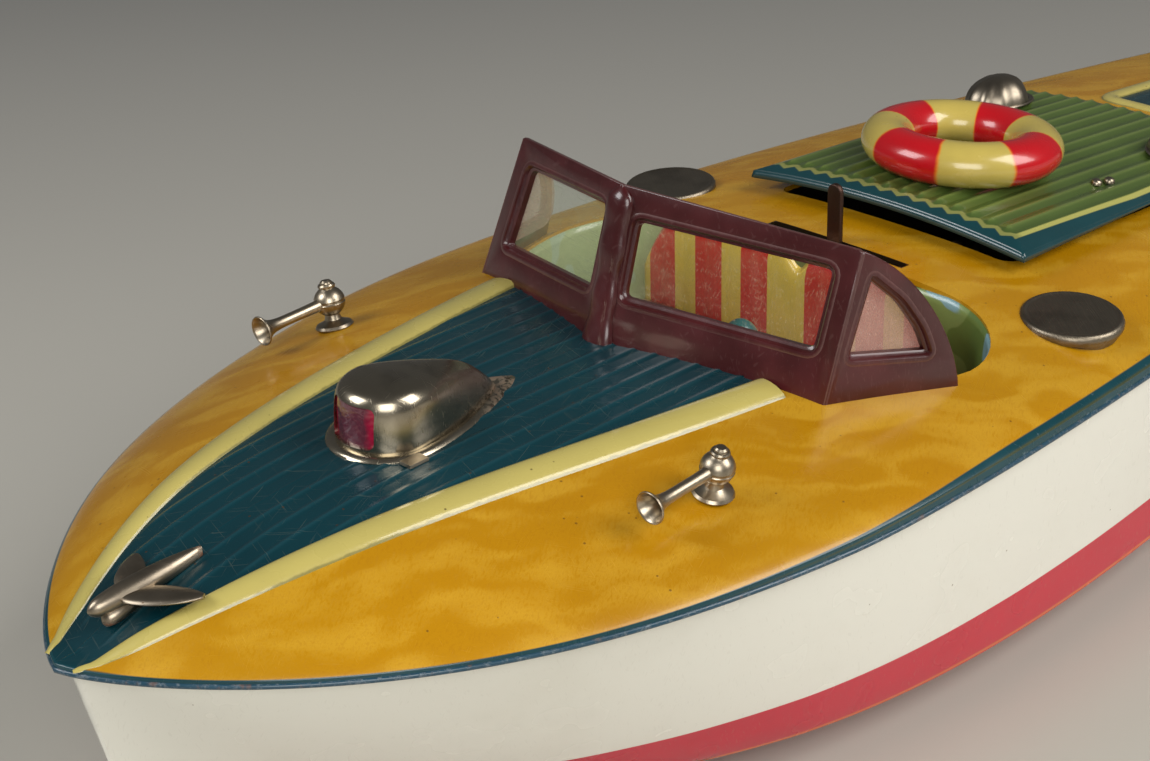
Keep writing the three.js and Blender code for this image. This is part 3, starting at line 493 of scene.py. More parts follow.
def ring_paint():
    """Four red and four cream sectors, parted by thin orange lines."""
    shade = Shade("ring_enamel")
    angle = shade.math("ARCTAN2", shade.s - RING_STATION, shade.x)
    edge_wander = (shade.noise(4, 2) - 0.5) * 0.05
    turned = (angle + 0.80 + edge_wander + 4 * math.pi) * (4 / math.pi)
    wave = shade.math("PINGPONG", turned, 1.0)
    red = shade.step(wave, 0.49, 0.51)
    crimson = shade.scale(srgb(182, 12, 24), shade.noise(7, 2) * 0.2 + 0.9)
    cream = shade.scale(srgb(186, 166, 82), shade.noise(6, 3) * 0.24 + 0.88)
    base = shade.mix(red, cream, crimson)
    base = shade.mix(shade.ridge(wave, 0.5, 0.035) * 0.7, base, srgb(214, 120, 30))
    spots = specks(shade, 3.0, 0.06, 6.0)
    base = shade.mix(spots * 0.7, base, srgb(90, 70, 30))
    return shade.set(color=base, rough=shade.noise(5, 2) * 0.12 + 0.2, coat=0.6, coat_rough=0.1,
                     normal=shade.bump(shade.noise(5, 2) * 0.06))


def hatch_paint():
    """Green ribs with painted shade in their grooves and a painted highlight on their crests, a cream line
    round them and a teal border.
    """
    shade = Shade("hatch_print")
    crest, border = shade.own("crest"), shade.own("border")
    green = shade.scale(srgb(84, 106, 48), shade.noise(18, 3) * 0.4 + 0.8)
    # Painted shade in the grooves and a painted highlight on the crests: the green follows the ribs' shape.
    base = shade.mix(crest * 0.55, shade.scale(green, 0.62), green)
    base = shade.mix(shade.step(crest, 0.55, 0.95) * 0.4, base, srgb(122, 136, 72))
    teal = shade.scale(srgb(12, 58, 64), shade.noise(10, 3) * 0.4 + 0.8)
    line = shade.mix(shade.step(shade.s, 171.5, 169.5), srgb(168, 166, 90), srgb(128, 130, 72))
    base = shade.mix(shade.step(border, 0.1, 0.4), base, line)
    base = shade.mix(shade.step(border, 0.95, 1.2), base, teal)
    chips = shade.step(shade.noise(1.2, 5, 0.75), 0.66, 0.74)
    base = shade.mix(chips * 0.25, base, srgb(170, 170, 140))
    return shade.set(color=base, rough=shade.noise(6, 3) * 0.14 + 0.24, coat=0.5, coat_rough=0.12,
                     normal=shade.bump(shade.noise(2.5, 2) * 0.04))


def ruby():
    """The red pane, darker and greyer in the middle as a painted reflection, saturated red at the sides."""
    shade = Shade("ruby_lens")
    cloudy = shade.noise(2.2, 3)
    # Painted reflection: the middle of the pane is a dull pale magenta, the sides saturated red.
    side = shade.step(abs(shade.x) + cloudy * 1.5, 3.2, 4.6)
    base = shade.mix(side, srgb(112, 50, 66), srgb(190, 20, 66))
    return shade.set(color=base, rough=0.12, through=0.35, ior=1.5, coat=0.8, coat_rough=0.03,
                     normal=shade.bump(shade.noise(2.0, 2) * 0.5))


def glass():
    shade = Shade("bulb_glass")
    return shade.set(color=shade.mix(shade.noise(2), (0.9, 0.88, 0.8), (1, 1, 1)), rough=0.05,
                     through=0.95, ior=1.45, normal=shade.bump(shade.noise(2) * 0.02))


def board():
    shade = Shade("fibre_board")
    fibres = shade.noise(0.7, 3, at=shade.place(0.2, (0.4, 5, 1)))
    base = shade.mix(fibres, srgb(96, 52, 34), srgb(150, 96, 70))
    return shade.set(color=base, rough=0.6, normal=shade.bump(fibres * 0.06))


NICKEL = nickel("nickel", (150, 140, 124), 0.36)
NICKEL_HORN = nickel("nickel_horn", (172, 160, 140), 0.34, 0.15)
NICKEL_CAP = nickel("nickel_cap", (138, 128, 112), 0.3, 0.2, brushed=1.0)
TIN = metal("tinplate", (168, 164, 152))
DARK = metal("dark_steel", (86, 66, 58), 0.4)
STEEL = metal("steel_rod", (150, 150, 146), 0.3, 0.3)
BRASS = metal("brass", (186, 150, 78), 0.3, 0.5)
BLACK = enamel("black_moulding", srgb(28, 28, 30), 0.4, 0.2)
TEAL_PAINT = enamel("teal_enamel", srgb(30, 92, 92), 0.3, 0.4)
BY_SLOT = {"nickel": NICKEL, "tinplate": TIN, "dark_steel": DARK, "steel_rod": STEEL, "brass": BRASS,
           "black_cap": BLACK, "teal_print": TEAL_PAINT, "board": board(), "bulb_glass": glass(),
           "red_lens": ruby(), "wood_print": deck_paint(), "white_enamel": hull_paint(),
           "maroon_enamel": maroon_paint(), "green_print": camouflage(), "striped_print": stripes(),
           "ring_print": ring_paint(), "hatch_print": hatch_paint(),
           "celluloid": celluloid("celluloid", 0.3, (206, 206, 178))}
CREAM_PAINT = cream_paint()


# ---- meshes ----

def raw_mesh(name, points, faces):
    mesh = bpy.data.meshes.new(name)
    mesh.from_pydata([tuple(p) for p in metres(points)], [], [tuple(f) for f in faces])
    return mesh


def clean(mesh):
    """Merges doubled points, drops empty faces and turns all faces out."""
    bm = bmesh.new()
    bm.from_mesh(mesh)
    bmesh.ops.remove_doubles(bm, verts=bm.verts, dist=1e-6)
    bmesh.ops.dissolve_degenerate(bm, edges=bm.edges, dist=1e-7)
    bmesh.ops.recalc_face_normals(bm, faces=bm.faces)
    bm.to_mesh(mesh)
    bm.free()


def show(name, data):
    """An object for the data, in the scene."""
    obj = bpy.data.objects.new(name, data)
    bpy.context.scene.collection.objects.link(obj)
    return obj


def build(name, points, faces, body, slot, stands_for=(), material=None, sharp=40):
    """An object from millimetre points and faces, smooth but for its sharp edges."""
    return dress(name, raw_mesh(name, points, faces), body, slot, stands_for, material, sharp)


def dress(name, mesh, body, slot, stands_for=(), material=None, sharp=40):
    """Cleans a mesh, gives it its material and hangs it on its body."""
    clean(mesh)
    mesh.shade_smooth()
    mesh.set_sharp_from_angle(angle=math.radians(sharp))
    obj = show(name, mesh)
    mesh.materials.clear()
    mesh.materials.append(material or BY_SLOT[slot])
    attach(obj, body)
    if stands_for:
        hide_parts(*stands_for)
    return obj


def grid_faces(rows, columns, wrap=False):
    """Quads over a grid of rows by columns points, closed round the columns if asked."""
    index = np.arange(rows * columns).reshape(rows, columns)
    nxt = np.roll(index, -1, axis=1) if wrap else None
    a = index[:-1] if wrap else index[:-1, :-1]
    b = nxt[:-1] if wrap else index[:-1, 1:]
    c = nxt[1:] if wrap else index[1:, 1:]
    d = index[1:] if wrap else index[1:, :-1]
    return np.stack([a, b, c, d], -1).reshape(-1, 4).tolist()


def tube_shell(rings, cap=True):
    """Points and faces of rings joined into a skin, with flat caps at both ends."""
    rings = np.asarray(rings, float)
    rows, columns = rings.shape[:2]
    faces = grid_faces(rows, columns, wrap=True)
    if cap:
        faces.append(list(range(columns)))
        faces.append([(rows - 1) * columns + k for k in range(columns)][::-1])
    return rings.reshape(-1, 3), faces


def box_grid(us, vs, place):
    """A closed block: grids over us by vs at the top and bottom, joined by walls."""
    u, v = np.meshgrid(us, vs)
    points = np.concatenate([place(u, v, True).reshape(-1, 3), place(u, v, False).reshape(-1, 3)])
    rows, columns = len(vs), len(us)
    half = rows * columns
    faces = grid_faces(rows, columns)
    faces += [[half + k for k in reversed(f)] for f in faces]
    index = np.arange(half).reshape(rows, columns)
    border = [*index[0, :-1], *index[:-1, -1], *index[-1, :0:-1], *index[:0:-1, 0]]
    for a, b in zip(border, border[1:] + border[:1]):
        faces.append([int(b), int(a), int(a) + half, int(b) + half])
    return points, faces


def thicken(obj, thickness):
    """Makes a skin a sheet, in millimetres."""
    sheet = obj.modifiers.new("sheet", "SOLIDIFY")
    sheet.thickness = thickness * 0.001
    return sheet


def loose_mesh(name, points, faces):
    """A plain object used only to cut or join."""
    mesh = raw_mesh(name, points, faces)
    clean(mesh)
    return show(name, mesh)


def combine(target, tools, operation="DIFFERENCE"):
    """The mesh of target after adding or cutting the tools. All are removed."""
    for tool in tools:
        modifier = target.modifiers.new(tool.name, "BOOLEAN")
        modifier.operation, modifier.object, modifier.solver = operation, tool, "MANIFOLD"
    graph = bpy.context.evaluated_depsgraph_get()
    mesh = bpy.data.meshes.new_from_object(target.evaluated_get(graph))
    for obj in [target, *tools]:
        bpy.data.objects.remove(obj)
    return mesh


def prism(name, outline, low, high):
    """An upright cutter from an outline of (x, station) points."""
    return loose_mesh(name, *tube_shell([[(x, s, z) for x, s in outline] for z in (low, high)]))


def bezier(p0, p1, p2, p3, steps=12):
    """Points of a cubic curve, without its first."""
    t = np.linspace(0, 1, steps + 1)[:, None]
    p0, p1, p2, p3 = (np.asarray(p, float) for p in (p0, p1, p2, p3))
    curve = (1 - t) ** 3 * p0 + 3 * (1 - t) ** 2 * t * p1 + 3 * (1 - t) * t * t * p2 + t ** 3 * p3
    return curve[1:].tolist()


def rounded(left, bottom, right, top, radius, steps=6):
    """A rounded rectangle's outline, anticlockwise."""
    corners = [(right - radius, bottom + radius, -90), (right - radius, top - radius, 0),
               (left + radius, top - radius, 90), (left + radius, bottom + radius, 180)]
    points = []
    for cx, cy, start in corners:
        for k in range(steps + 1):
            angle = math.radians(start + 90 * k / steps)
            points.append((cx + radius * math.cos(angle), cy + radius * math.sin(angle)))
    return points


def lathe(profile, steps=48):
    """Rings of a profile of (radius, height) turned about z."""
    return np.array([[(r * math.cos(a), r * math.sin(a), z) for a in around(steps)] for r, z in profile])


def smooth_profile(profile, steps=6):
    """A Catmull-Rom curve through the profile's points."""
    p = np.asarray([profile[0], *profile, profile[-1]], float)
    out = [p[1]]
    for k in range(1, len(p) - 2):
        for t in np.linspace(0, 1, steps + 1)[1:]:
            a, b, c, d = p[k - 1], p[k], p[k + 1], p[k + 2]
            out.append(0.5 * (2 * b + (c - a) * t + (2 * a - 5 * b + 4 * c - d) * t * t
                              + (3 * b - a - 3 * c + d) * t ** 3))
    return np.maximum(np.array(out), [[0, -1e9]]).tolist()


def turned(rings, matrix):
    """Rings moved by a 4 x 4 matrix given in millimetre stations."""
    rings = np.asarray(rings, float)
    flat = rings.reshape(-1, 3) @ np.array(matrix.to_3x3()).T + np.array(matrix.translation)
    return flat.reshape(rings.shape)


def frame_at(x, s, z, lean=0.0, pitch=0.0):
    """A frame standing at a point, leaning outboard and pitched."""
    return (Matrix.Translation((x, s, z)) @ Matrix.Rotation(lean, 4, "Y") @ Matrix.Rotation(pitch, 4, "X"))


def attribute(obj, name, values):
    """A value at each point of the object's mesh, for its material."""
    obj.data.attributes.new(name, "FLOAT", "POINT").data.foreach_set("value", np.asarray(values, np.float32))


def stations(obj):
    """The object's vertices back in millimetre stations."""
    co = np.empty(len(obj.data.vertices) * 3, np.float32)
    obj.data.vertices.foreach_get("co", co)
    return co.reshape(-1, 3).astype(float) * 1000 + [0, OVERALL / 2, 0]


# ---- deck ----

def cockpit_outline(margin=0.0):
    """The cockpit's edge: straight across the front, full amidships, square aft."""
    front, rear, side = 101 - margin, 151 + margin, 42.5 + margin
    port = [(0, front), (32 + margin, front + 9.5)]
    port += bezier((32 + margin, front + 9.5), (37 + margin, 116), (side - 1, 124), (side, 134))
    port += bezier((side, 134), (side, rear - 8), (side - 8, rear), (26, rear))
    return port + [(-x, s) for x, s in reversed(port[1:])]


def spread(u):
    """Shares from -1 to 1, closer together at both ends."""
    return np.sign(u) * (1 - (1 - abs(u)) ** 2.2)


def fore_centre(s):
    """Centre of the foredeck's mouldings, which bulge near the bow."""
    return 38 * (1 - np.exp(-(s + 4) / 80)) + 1.7 * np.exp(-((s - 22) / 25) ** 2)


def fore_half(s):
    return (1.0 + 2.05 * np.tanh(s / 42)) * (0.35 + 0.65 * smoothstep(s, -1, 9))


def panel_rib(x, s):
    """The low fore-and-aft ribs pressed into the foredeck panel."""
    off = abs((abs(x) + 0.4) % RIB_PITCH - RIB_PITCH / 2)
    crest = np.clip((off - RIB_PITCH / 2 + 0.6) / 0.6, 0, 1) ** 0.8
    return 0.2 * crest * np.clip((panel_distance(x, s) - 2.4) / 1.2, 0, 1) * (s < 180)


def deck_block(inset, shares, along):
    """The deck's block, its top on the camber. Shares are columns, as parts of the half-breadth."""
    first = inset * 1.1

    def place(u, v, top):
        s = first + (DECK_LENGTH - inset - first) * v ** 1.5
        breadth = np.maximum(half_breadth(s - first) - inset, 0.2 if inset else 0)
        x = u * breadth
        z = deck_height(u * half_breadth(s), s) - inset if top else rim_height(s) - 2 * inset
        if top and not inset:
            z = z + panel_rib(x, s)
        return np.stack([x, s, z], -1)

    return box_grid(shares, np.linspace(0, 1, along + 1), place)


def panel_distance(x, s):
    """How far inside a teal panel a point is; negative outside."""
    fore = np.minimum(fore_centre(s) - abs(x), 108 - s)
    aft = np.minimum(17.5 - 0.02 * (s - 262) - abs(x), s - 263)
    return np.where(s < 180, fore, aft)


def build_deck():
    """The pressing: a hollow block with the cockpit, hatchway and slot cut out."""
    edges = 1 - 0.38 * np.linspace(0, 1, 25)[:-1] ** 2.2
    fine = np.concatenate([-edges, np.linspace(-0.62, 0.62, 221), edges[::-1]])
    outer = loose_mesh("outer", *deck_block(0, fine, 230))
    inner = loose_mesh("inner", *deck_block(0.9, spread(np.linspace(-1, 1, 61)), 110))
    cutters = [inner, prism("cockpit", cockpit_outline(), 20, 80),
               prism("hatchway", rounded(-25, 168.9, 25, 243.5, 3), 20, 80),
               prism("slot", rounded(-13.6, 153.3, 14.6, 155.3, 0.9), 20, 80)]
    deck = dress("deck", combine(outer, cutters), "boat", "wood_print", ["deck_shell"], sharp=50)
    x, s, z = stations(deck).T
    attribute(deck, "edge", half_breadth(s) - abs(x))
    attribute(deck, "wall", z - rim_height(s) - 1.25 - 1.65 * smoothstep(s, 45, 130))
    attribute(deck, "panel", panel_distance(x, s))


def sideways(path):
    """Unit vectors square to a path of (x, station), towards its right."""
    ahead = np.gradient(np.asarray(path, float), axis=0)
    ahead /= np.linalg.norm(ahead, axis=1)[:, None]
    return np.stack([ahead[:, 1], -ahead[:, 0]], -1)


def ribbon(name, path, half):
    """A half-round moulding laid on the deck along a path of (x, station)."""
    rows, across = [], np.linspace(-1, 1, 13)
    for (x, s), n, h in zip(path, sideways(path), half):
        px, ps = x + n[0] * across * h, s + n[1] * across * h
        rise = np.sqrt(np.maximum(0, 1 - across ** 2)) ** 1.1 * min(1, h / 2.2)
        rows.append(np.stack([px, ps, deck_height(px, ps) + rise - 0.06], -1))
    moulding = build(name, np.concatenate(rows), grid_faces(len(rows), len(across)), "boat", "wood_print",
                     material=CREAM_PAINT, sharp=60)
    attribute(moulding, "across", np.tile(across, len(rows)))


def build_mouldings():
    s = np.linspace(0.6, 105, 150)
    for side, name in ((1, "port"), (-1, "starboard")):
        ribbon(f"moulding_{name}", np.stack([side * fore_centre(s), s], -1), fore_half(s))
    port = [(17.5 - 0.02 * (v - 262), v) for v in np.linspace(336, 266, 50)]
    port += [(13.4 + 4 * math.cos(a), 266 - 4 * math.sin(a)) for a in np.linspace(0, math.pi / 2, 9)[1:]]
    path = port + [(-x, v) for x, v in reversed(port)]
    ribbon("moulding_aft", path, np.full(len(path), 1.9))


def build_rim():
    """The rolled lower edge of the deck, from the transom round the bow."""
    s = DECK_LENGTH * np.linspace(1, 0, 150) ** 1.6
    path = [(half_breadth(v), v) for v in s[:-1]] + [(0.0, -0.1)]
    path += [(-half_breadth(v), v) for v in s[-2::-1]]
    rings = []
    for (x, v), (out_x, out_s) in zip(path, -sideways(path)):
        rings.append([(x + out_x * (0.42 * math.cos(a) - 0.1), v + out_s * (0.42 * math.cos(a) - 0.1),
                       rim_height(max(v, 0)) + 0.3 + 0.42 * math.sin(a)) for a in around(9)])
    build("rim_roll", *tube_shell(rings), "boat", "wood_print", material=RIM_PAINT, sharp=80)


def rim_paint():
    """Teal enamel worn to tin and rust along the rolled edge."""
    shade = Shade("rim_enamel")
    base = shade.scale(srgb(30, 66, 84), shade.noise(7, 3) * 0.5 + 0.75)
    worn = shade.step(shade.noise(1.1, 5, 0.75), 0.5, 0.66)
    base = shade.mix(worn * 0.6, base, srgb(126, 138, 146))
    bare = shade.step(shade.noise(2.6, 4, 0.7, at=shade.place(0, (1, 1, 1), (9, 4, 1))), 0.58, 0.7)
    base = shade.mix(bare * 0.6, base, srgb(112, 84, 70))
    return shade.set(color=base, rough=0.3 + worn * 0.1, metal=worn * 0.4, coat=0.3,
                     normal=shade.bump(worn * 0.05))


RIM_PAINT = rim_paint()


# ---- hull ----
CHINE = 0.42  # share of the way from the flat of the bottom up to the sheer


def stem_point(v):
    """The stem's profile: a curve up to the chine, then straight and raked."""
    angle = v / CHINE * math.pi / 2
    up = (v - CHINE) / (1 - CHINE)
    low = v < CHINE
    s = np.where(low, 50 - 42 * np.sin(angle), 8 - 6 * up)
    z = np.where(low, 14 * (1 - np.cos(angle)), 14 + (RIM_HEIGHT + 0.1 - 14) * up)
    return s, z


def hull_side(t, v):
    """Points of the port side: t from stem to transom, v from the flat of the bottom to the sheer."""
    start, stem_z = stem_point(v)
    stern = DECK_LENGTH - 1.2 - 8 * (1 - v)
    s = start + (stern - start) * t ** 1.35
    sheer = half_breadth(s - 1) - 1.35
    chine = sheer * 0.99 * (1 - np.exp(-((s / 58) ** 1.25)))
    flat = np.minimum(13, chine * 0.6)
    chine_z = 7 + 12 * np.exp(-s / 22)
    out, up = v / CHINE, np.maximum(0, (v - CHINE) / (1 - CHINE))
    low = v < CHINE
    x = np.where(low, flat + (chine - flat) * np.minimum(out, 1) ** 0.9, chine + (sheer - chine) * up ** 0.8)
    z = np.where(low, chine_z * np.minimum(out, 1) ** 1.8, chine_z + (rim_height(s) + 0.1 - chine_z) * up)
    run = s - start
    entry = np.where(t > 0, 1 - np.exp(-(run + 1) / (1 + 22 * (1 - v))), 0)
    blend = np.exp(-run / 14)
    return np.stack([np.maximum(x * entry, 0), s, z * (1 - blend) + stem_z * blend], -1)


def build_hull():
    """The white and red tin shell, bare inside."""
    t = np.linspace(0, 1, 121) ** 1.15
    rings = []
    for v in [*np.linspace(0, CHINE, 12)[:-1], *np.linspace(CHINE, 1, 22)]:
        port = hull_side(t, np.full(t.shape, v))
        stern = np.array([port[-1] * [k, 1, 1] for k in np.linspace(1, -1, 11)[1:-1]])
        rings.append(np.concatenate([port, stern, (port * [-1, 1, 1])[:0:-1]]))
    rings = np.array(rings)
    rows, columns = rings.shape[:2]
    faces = grid_faces(rows, columns, wrap=True)
    faces.append(list(range(columns))[::-1])
    hull = build("hull", rings.reshape(-1, 3), faces, "boat", "white_enamel", ["hull_shell"], sharp=28)
    hull.data.materials.append(TIN)
    wall = thicken(hull, 0.8)
    wall.offset, wall.material_offset = -1, 1


# ---- fittings on the foredeck ----

def leaf(root, tip, width, thick, steps=20):
    """A flattened leaf from root to tip, round at the root end and blunt at the tip."""
    root, tip = np.asarray(root, float), np.asarray(tip, float)
    along = tip - root
    across = np.cross(along, [0, 0, 1])
    across /= np.linalg.norm(across)
    rings = []
    for t in 0.5 - 0.5 * np.cos(np.linspace(0, math.pi, steps)):
        w = width * max(0.02, math.sin(math.pi * (0.04 + 0.93 * t) ** 0.8)) ** 0.6
        blunt = math.sqrt(max(0.01, 1 - (1 - min(1, t / 0.09)) ** 2))
        w, h = w * blunt, thick * blunt * (0.35 + 0.65 * w / width)
        rings.append([root + along * t + across * w * math.cos(a) + [0, 0, h * math.sin(a)]
                      for a in around(18)])
    return tube_shell(rings)


def build_ornament():
    """A swept arrow: a slender body over two leaf-like wings, on a short saddle, a little askew."""
    nose, turn = np.array([0.2, 5.4, 49.3]), -0.137

    def place(point):
        x, along, up = point
        return nose + [x * math.cos(turn) - along * math.sin(turn),
                       x * math.sin(turn) + along * math.cos(turn), up]

    fuselage = loose_mesh("fuselage", *leaf(place((0, 0, 0)), place((0, 16.6, 2.8)), 1.75, 1.6, steps=30))
    leaves = {"wing_port": ((0.2, 4.6, 0.9), (8.8, 12.0, 1.9), 2.4, 0.6),
              "wing_starboard": ((-0.2, 5.6, 0.9), (-5.9, 10.2, 1.9), 2.0, 0.6),
              "chin": ((0.5, 1.6, -1.7), (0.1, 7.6, -0.1), 1.5, 1.3)}
    tools = [loose_mesh(name, *leaf(place(root), place(tip), width, thick))
             for name, (root, tip, width, thick) in leaves.items()]
    saddle = [[place((1.3 * math.cos(a), along, 2.0 * math.sin(a) - 0.9)) for a in around(16)]
              for along in np.linspace(4, 9, 4)]
    tools.append(loose_mesh("saddle", *tube_shell(saddle)))
    ornament = dress("ornament", combine(fuselage, tools, "UNION"), "boat", "nickel", ["bow_ornament"],
                     material=nickel("nickel_ornament", (158, 146, 128), 0.36, 0.5), sharp=50)
    x, s, z = stations(ornament).T
    low_fore = smoothstep(-z, -48.2, -47.2) * smoothstep(-s, -10, -8)
    attribute(ornament, "rust", smoothstep(s, 20.6, 21.6) + low_fore)


def lamp_outline(t, lift):
    """The lamp's plan: a half-round nose drawn out into a pointed tail."""
    x, y = math.sin(FULL_TURN * t), -math.cos(FULL_TURN * t)
    if y > 0:
        x *= (1 - y ** 2.2) ** 0.15 * (1 - 0.42 * y ** 1.5)
        y *= 2.75
    return x * lift, y * lift


def build_lamp():
    """The teardrop housing with its flange, hollow, with the red pane in its window and a tab."""
    station, radius, height = LAMP_STATION, 7.6, 10.4
    low = float(deck_height(0, station)) - 0.9
    rings = []
    flange = [(1.16, 0.0), (1.17, 0.5), (1.13, 0.9), (1.03, 1.05), (0.985, 1.35)]
    dome = smooth_profile([(0.985, 2.0), (0.975, 3.6), (0.962, 5.2), (0.94, 6.8), (0.905, 7.9), (0.845, 8.75),
                           (0.755, 9.35), (0.62, 9.75), (0.45, 9.98), (0.25, 10.1), (0.03, 10.15)], 3)
    for lift, z in flange + dome:
        tail = 1 - 0.35 * (z / height) ** 1.4
        ring = []
        for k in range(72):
            x, y = lamp_outline(k / 72, lift * radius)
            y = y * tail if y > 0 else y
            fall = 0.11 * max(0, y) * (z / height)
            foot = float(deck_height(x, station + y)) - low - 0.4 if z < 1.2 else 0
            ring.append((x, station + y, low + z - fall + foot))
        rings.append(ring)
    shell = loose_mesh("shell", *tube_shell(rings))
    inner = [[(x * 0.9, (s - station) * 0.92 + station, (z - low) * 0.93 + low - 0.3) for x, s, z in ring]
             for ring in rings]
    hollow = loose_mesh("hollow", *tube_shell(inner))
    opening = [(x, low + 2.0 + z) for x, z in rounded(-4.2, 0, 4.2, 6.0, 1.0)]
    sides = [[(x, station + y, z) for x, z in opening] for y in (-11, -3.5)]
    window = loose_mesh("window", *tube_shell(sides))
    lamp = dress("lamp", combine(shell, [hollow, window]), "boat", "nickel", ["lamp_housing"],
                 material=nickel("nickel_lamp", (176, 166, 146), 0.24, 0.8), sharp=45)
    x, s, z = stations(lamp).T
    foot = smoothstep(deck_height(x, s) - z, -0.9, -0.1)
    attribute(lamp, "rust", 0.75 * foot * smoothstep(s, 66, 76))
    lens = []
    for z in np.linspace(1.4, 8.3, 12):
        row = []
        for a in np.linspace(-0.7, 0.7, 16):
            r = radius * 0.92 * (1 - 0.05 * (z / 8.4) ** 4)
            row.append((r * math.sin(a), station - r * math.cos(a), low + z))
        lens.append(row)
    lens = np.array(lens)
    pane = build("lens", lens.reshape(-1, 3), grid_faces(*lens.shape[:2]), "boat", "red_lens", ["lamp_lens"])
    thicken(pane, 0.5)
    tab = tab_box(radius + 1.4, station - 3.2, float(deck_height(9, station)) + 0.3, 2.2, 3.4, 0.5)
    build("lamp_tab", *tab, "boat", "nickel", sharp=30)


def tab_box(x, s, z, width, depth, height):
    """A plain block about a point."""
    points = [(x + i * width / 2, s + j * depth / 2, z + k * height / 2)
              for i in (-1, 1) for j in (-1, 1) for k in (-1, 1)]
    faces = [(0, 1, 3, 2), (4, 6, 7, 5), (0, 4, 5, 1), (2, 3, 7, 6), (0, 2, 6, 4), (1, 5, 7, 3)]
    return points, faces


def build_horns():
    """Two horns: a turned post with a ball, and a trumpet pointing forward through the ball."""
    post = [(0, 0), (2.9, 0), (3.05, 0.25), (2.8, 0.65), (1.9, 0.95), (1.35, 1.35), (1.2, 1.9)]
    post += [((2.5 - 0.12 * (abs(a) < 0.06)) * math.cos(a), 4.3 + 2.4 * math.sin(a))
             for a in np.radians([-62, -52, -40, -28, -17, -7, -3.4, 0, 3.4, 7, 17, 28, 40, 52, 60])]
    post += [(1.2, 6.45), (1.35, 6.6), (1.4, 6.9), (1.25, 7.15), (1.0, 7.2), (0.95, 7.45), (0.7, 7.7),
             (0, 7.75)]
    trumpet = [(0, 1.5), (0.92, 1.6), (0.9, 4), (0.88, 8.5), (0.95, 10.4), (1.2, 11.7), (1.75, 12.7),
               (2.3, 13.2), (2.4, 13.4), (2.2, 13.5), (1.6, 12.7), (1.1, 11.6), (0.8, 10.2), (0.6, 8.6),
               (0, 8.4)]
    for side, name in ((1, "port"), (-1, "starboard")):
        seat = frame_at(side * HORN[0], HORN[1], float(deck_height(*HORN)) + 0.05, side * 0.2)
        build(f"horn_post_{name}", *tube_shell(turned(lathe(post, 36), seat)), "boat", "nickel",
              [f"horn_post_{name}"], NICKEL_HORN, sharp=32)
        aim = (Matrix.Translation((0, 0, 4.3)) @ Matrix.Rotation(side * 0.02, 4, "Z")
               @ Matrix.Rotation(math.pi / 2 + 0.04, 4, "X"))
        rings = turned(lathe(smooth_profile(trumpet, 3), 32), seat @ aim)
        build(f"horn_trumpet_{name}", *tube_shell(rings), "boat", "nickel", [f"horn_trumpet_{name}"],
              NICKEL_HORN, sharp=50)


# ---- windscreen ----
FOOT, TOP = (0, 97.6, 54.6), (0, 104.2, 77.8)


def panel_matrix(origin, along, up):
    """The frame of a flat panel: x along its foot, y up it, z out of its face."""
    origin, along, up = (Vector(p) for p in (origin, along, up))
    x = (along - origin).normalized()
    y = up - origin
    y = (y - x * y.dot(x)).normalized()
    z = x.cross(y)
    made = Matrix((x, y, z)).transposed().to_4x4()
    made.translation = origin
    return made


def plate(name, outline, holes, thickness, matrix, bevel=0.2, mirror=False):
    """A flat sheet with holes and rounded edges, as points and faces in millimetre stations."""
    curve = bpy.data.curves.new(name, "CURVE")
    curve.dimensions, curve.fill_mode = "2D", "BOTH"
    curve.extrude, curve.bevel_depth, curve.bevel_resolution = thickness / 2 - bevel, bevel, 2
    curve.offset = -bevel
    for points in [outline, *holes]:
        spline = curve.splines.new("POLY")
        spline.points.add(len(points) - 1)
        spline.points.foreach_set("co", [c for x, y in points for c in (x, y, 0, 1)])
        spline.use_cyclic_u = True
    obj = show(name, curve)
    graph = bpy.context.evaluated_depsgraph_get()
    mesh = bpy.data.meshes.new_from_object(obj.evaluated_get(graph))
    bpy.data.objects.remove(obj)
    flip = Matrix.Diagonal((-1, 1, 1, 1)) if mirror else Matrix.Identity(4)
    mesh.transform(flip @ matrix)
    points = [tuple(v.co) for v in mesh.vertices]
    faces = [tuple(p.vertices) for p in mesh.polygons]
    bpy.data.meshes.remove(mesh)
    return points, faces


def merged(*pieces):
    """Several (points, faces) pairs as one."""
    points, faces = [], []
    for some, their in pieces:
        faces += [[k + len(points) for k in f] for f in their]
        points += [tuple(p) for p in some]
    return points, faces


def inset_loop(loop, amount):
    """A closed loop moved inward by an amount."""
    loop = np.asarray(loop, float)
    before, after = np.roll(loop, 1, axis=0), np.roll(loop, -1, axis=0)
    along = after - before
    along /= np.maximum(np.linalg.norm(along, axis=1), 1e-9)[:, None]
    return loop + np.stack([-along[:, 1], along[:, 0]], -1) * amount


def lip(loop, depth, matrix, mirror=False):
    """The return round a window: the sheet's edge rolls in and turns back."""
    steps = [(-0.9, 0.38), (-0.5, 0.5), (-0.1, 0.44), (0.2, 0.1), (0.35, -0.5), (0.45, -depth),
             (0.85, -depth), (0.75, -0.4), (0.4, -0.2), (-0.6, 0.0)]
    rings = [[(x, y, z) for x, y in inset_loop(loop, inward)] for inward, z in steps]
    rings.append(rings[0])
    flip = Matrix.Diagonal((-1, 1, 1, 1)) if mirror else Matrix.Identity(4)
    rings = turned(np.array(rings), flip @ matrix)
    return rings.reshape(-1, 3), grid_faces(rings.shape[0], rings.shape[1], wrap=True)


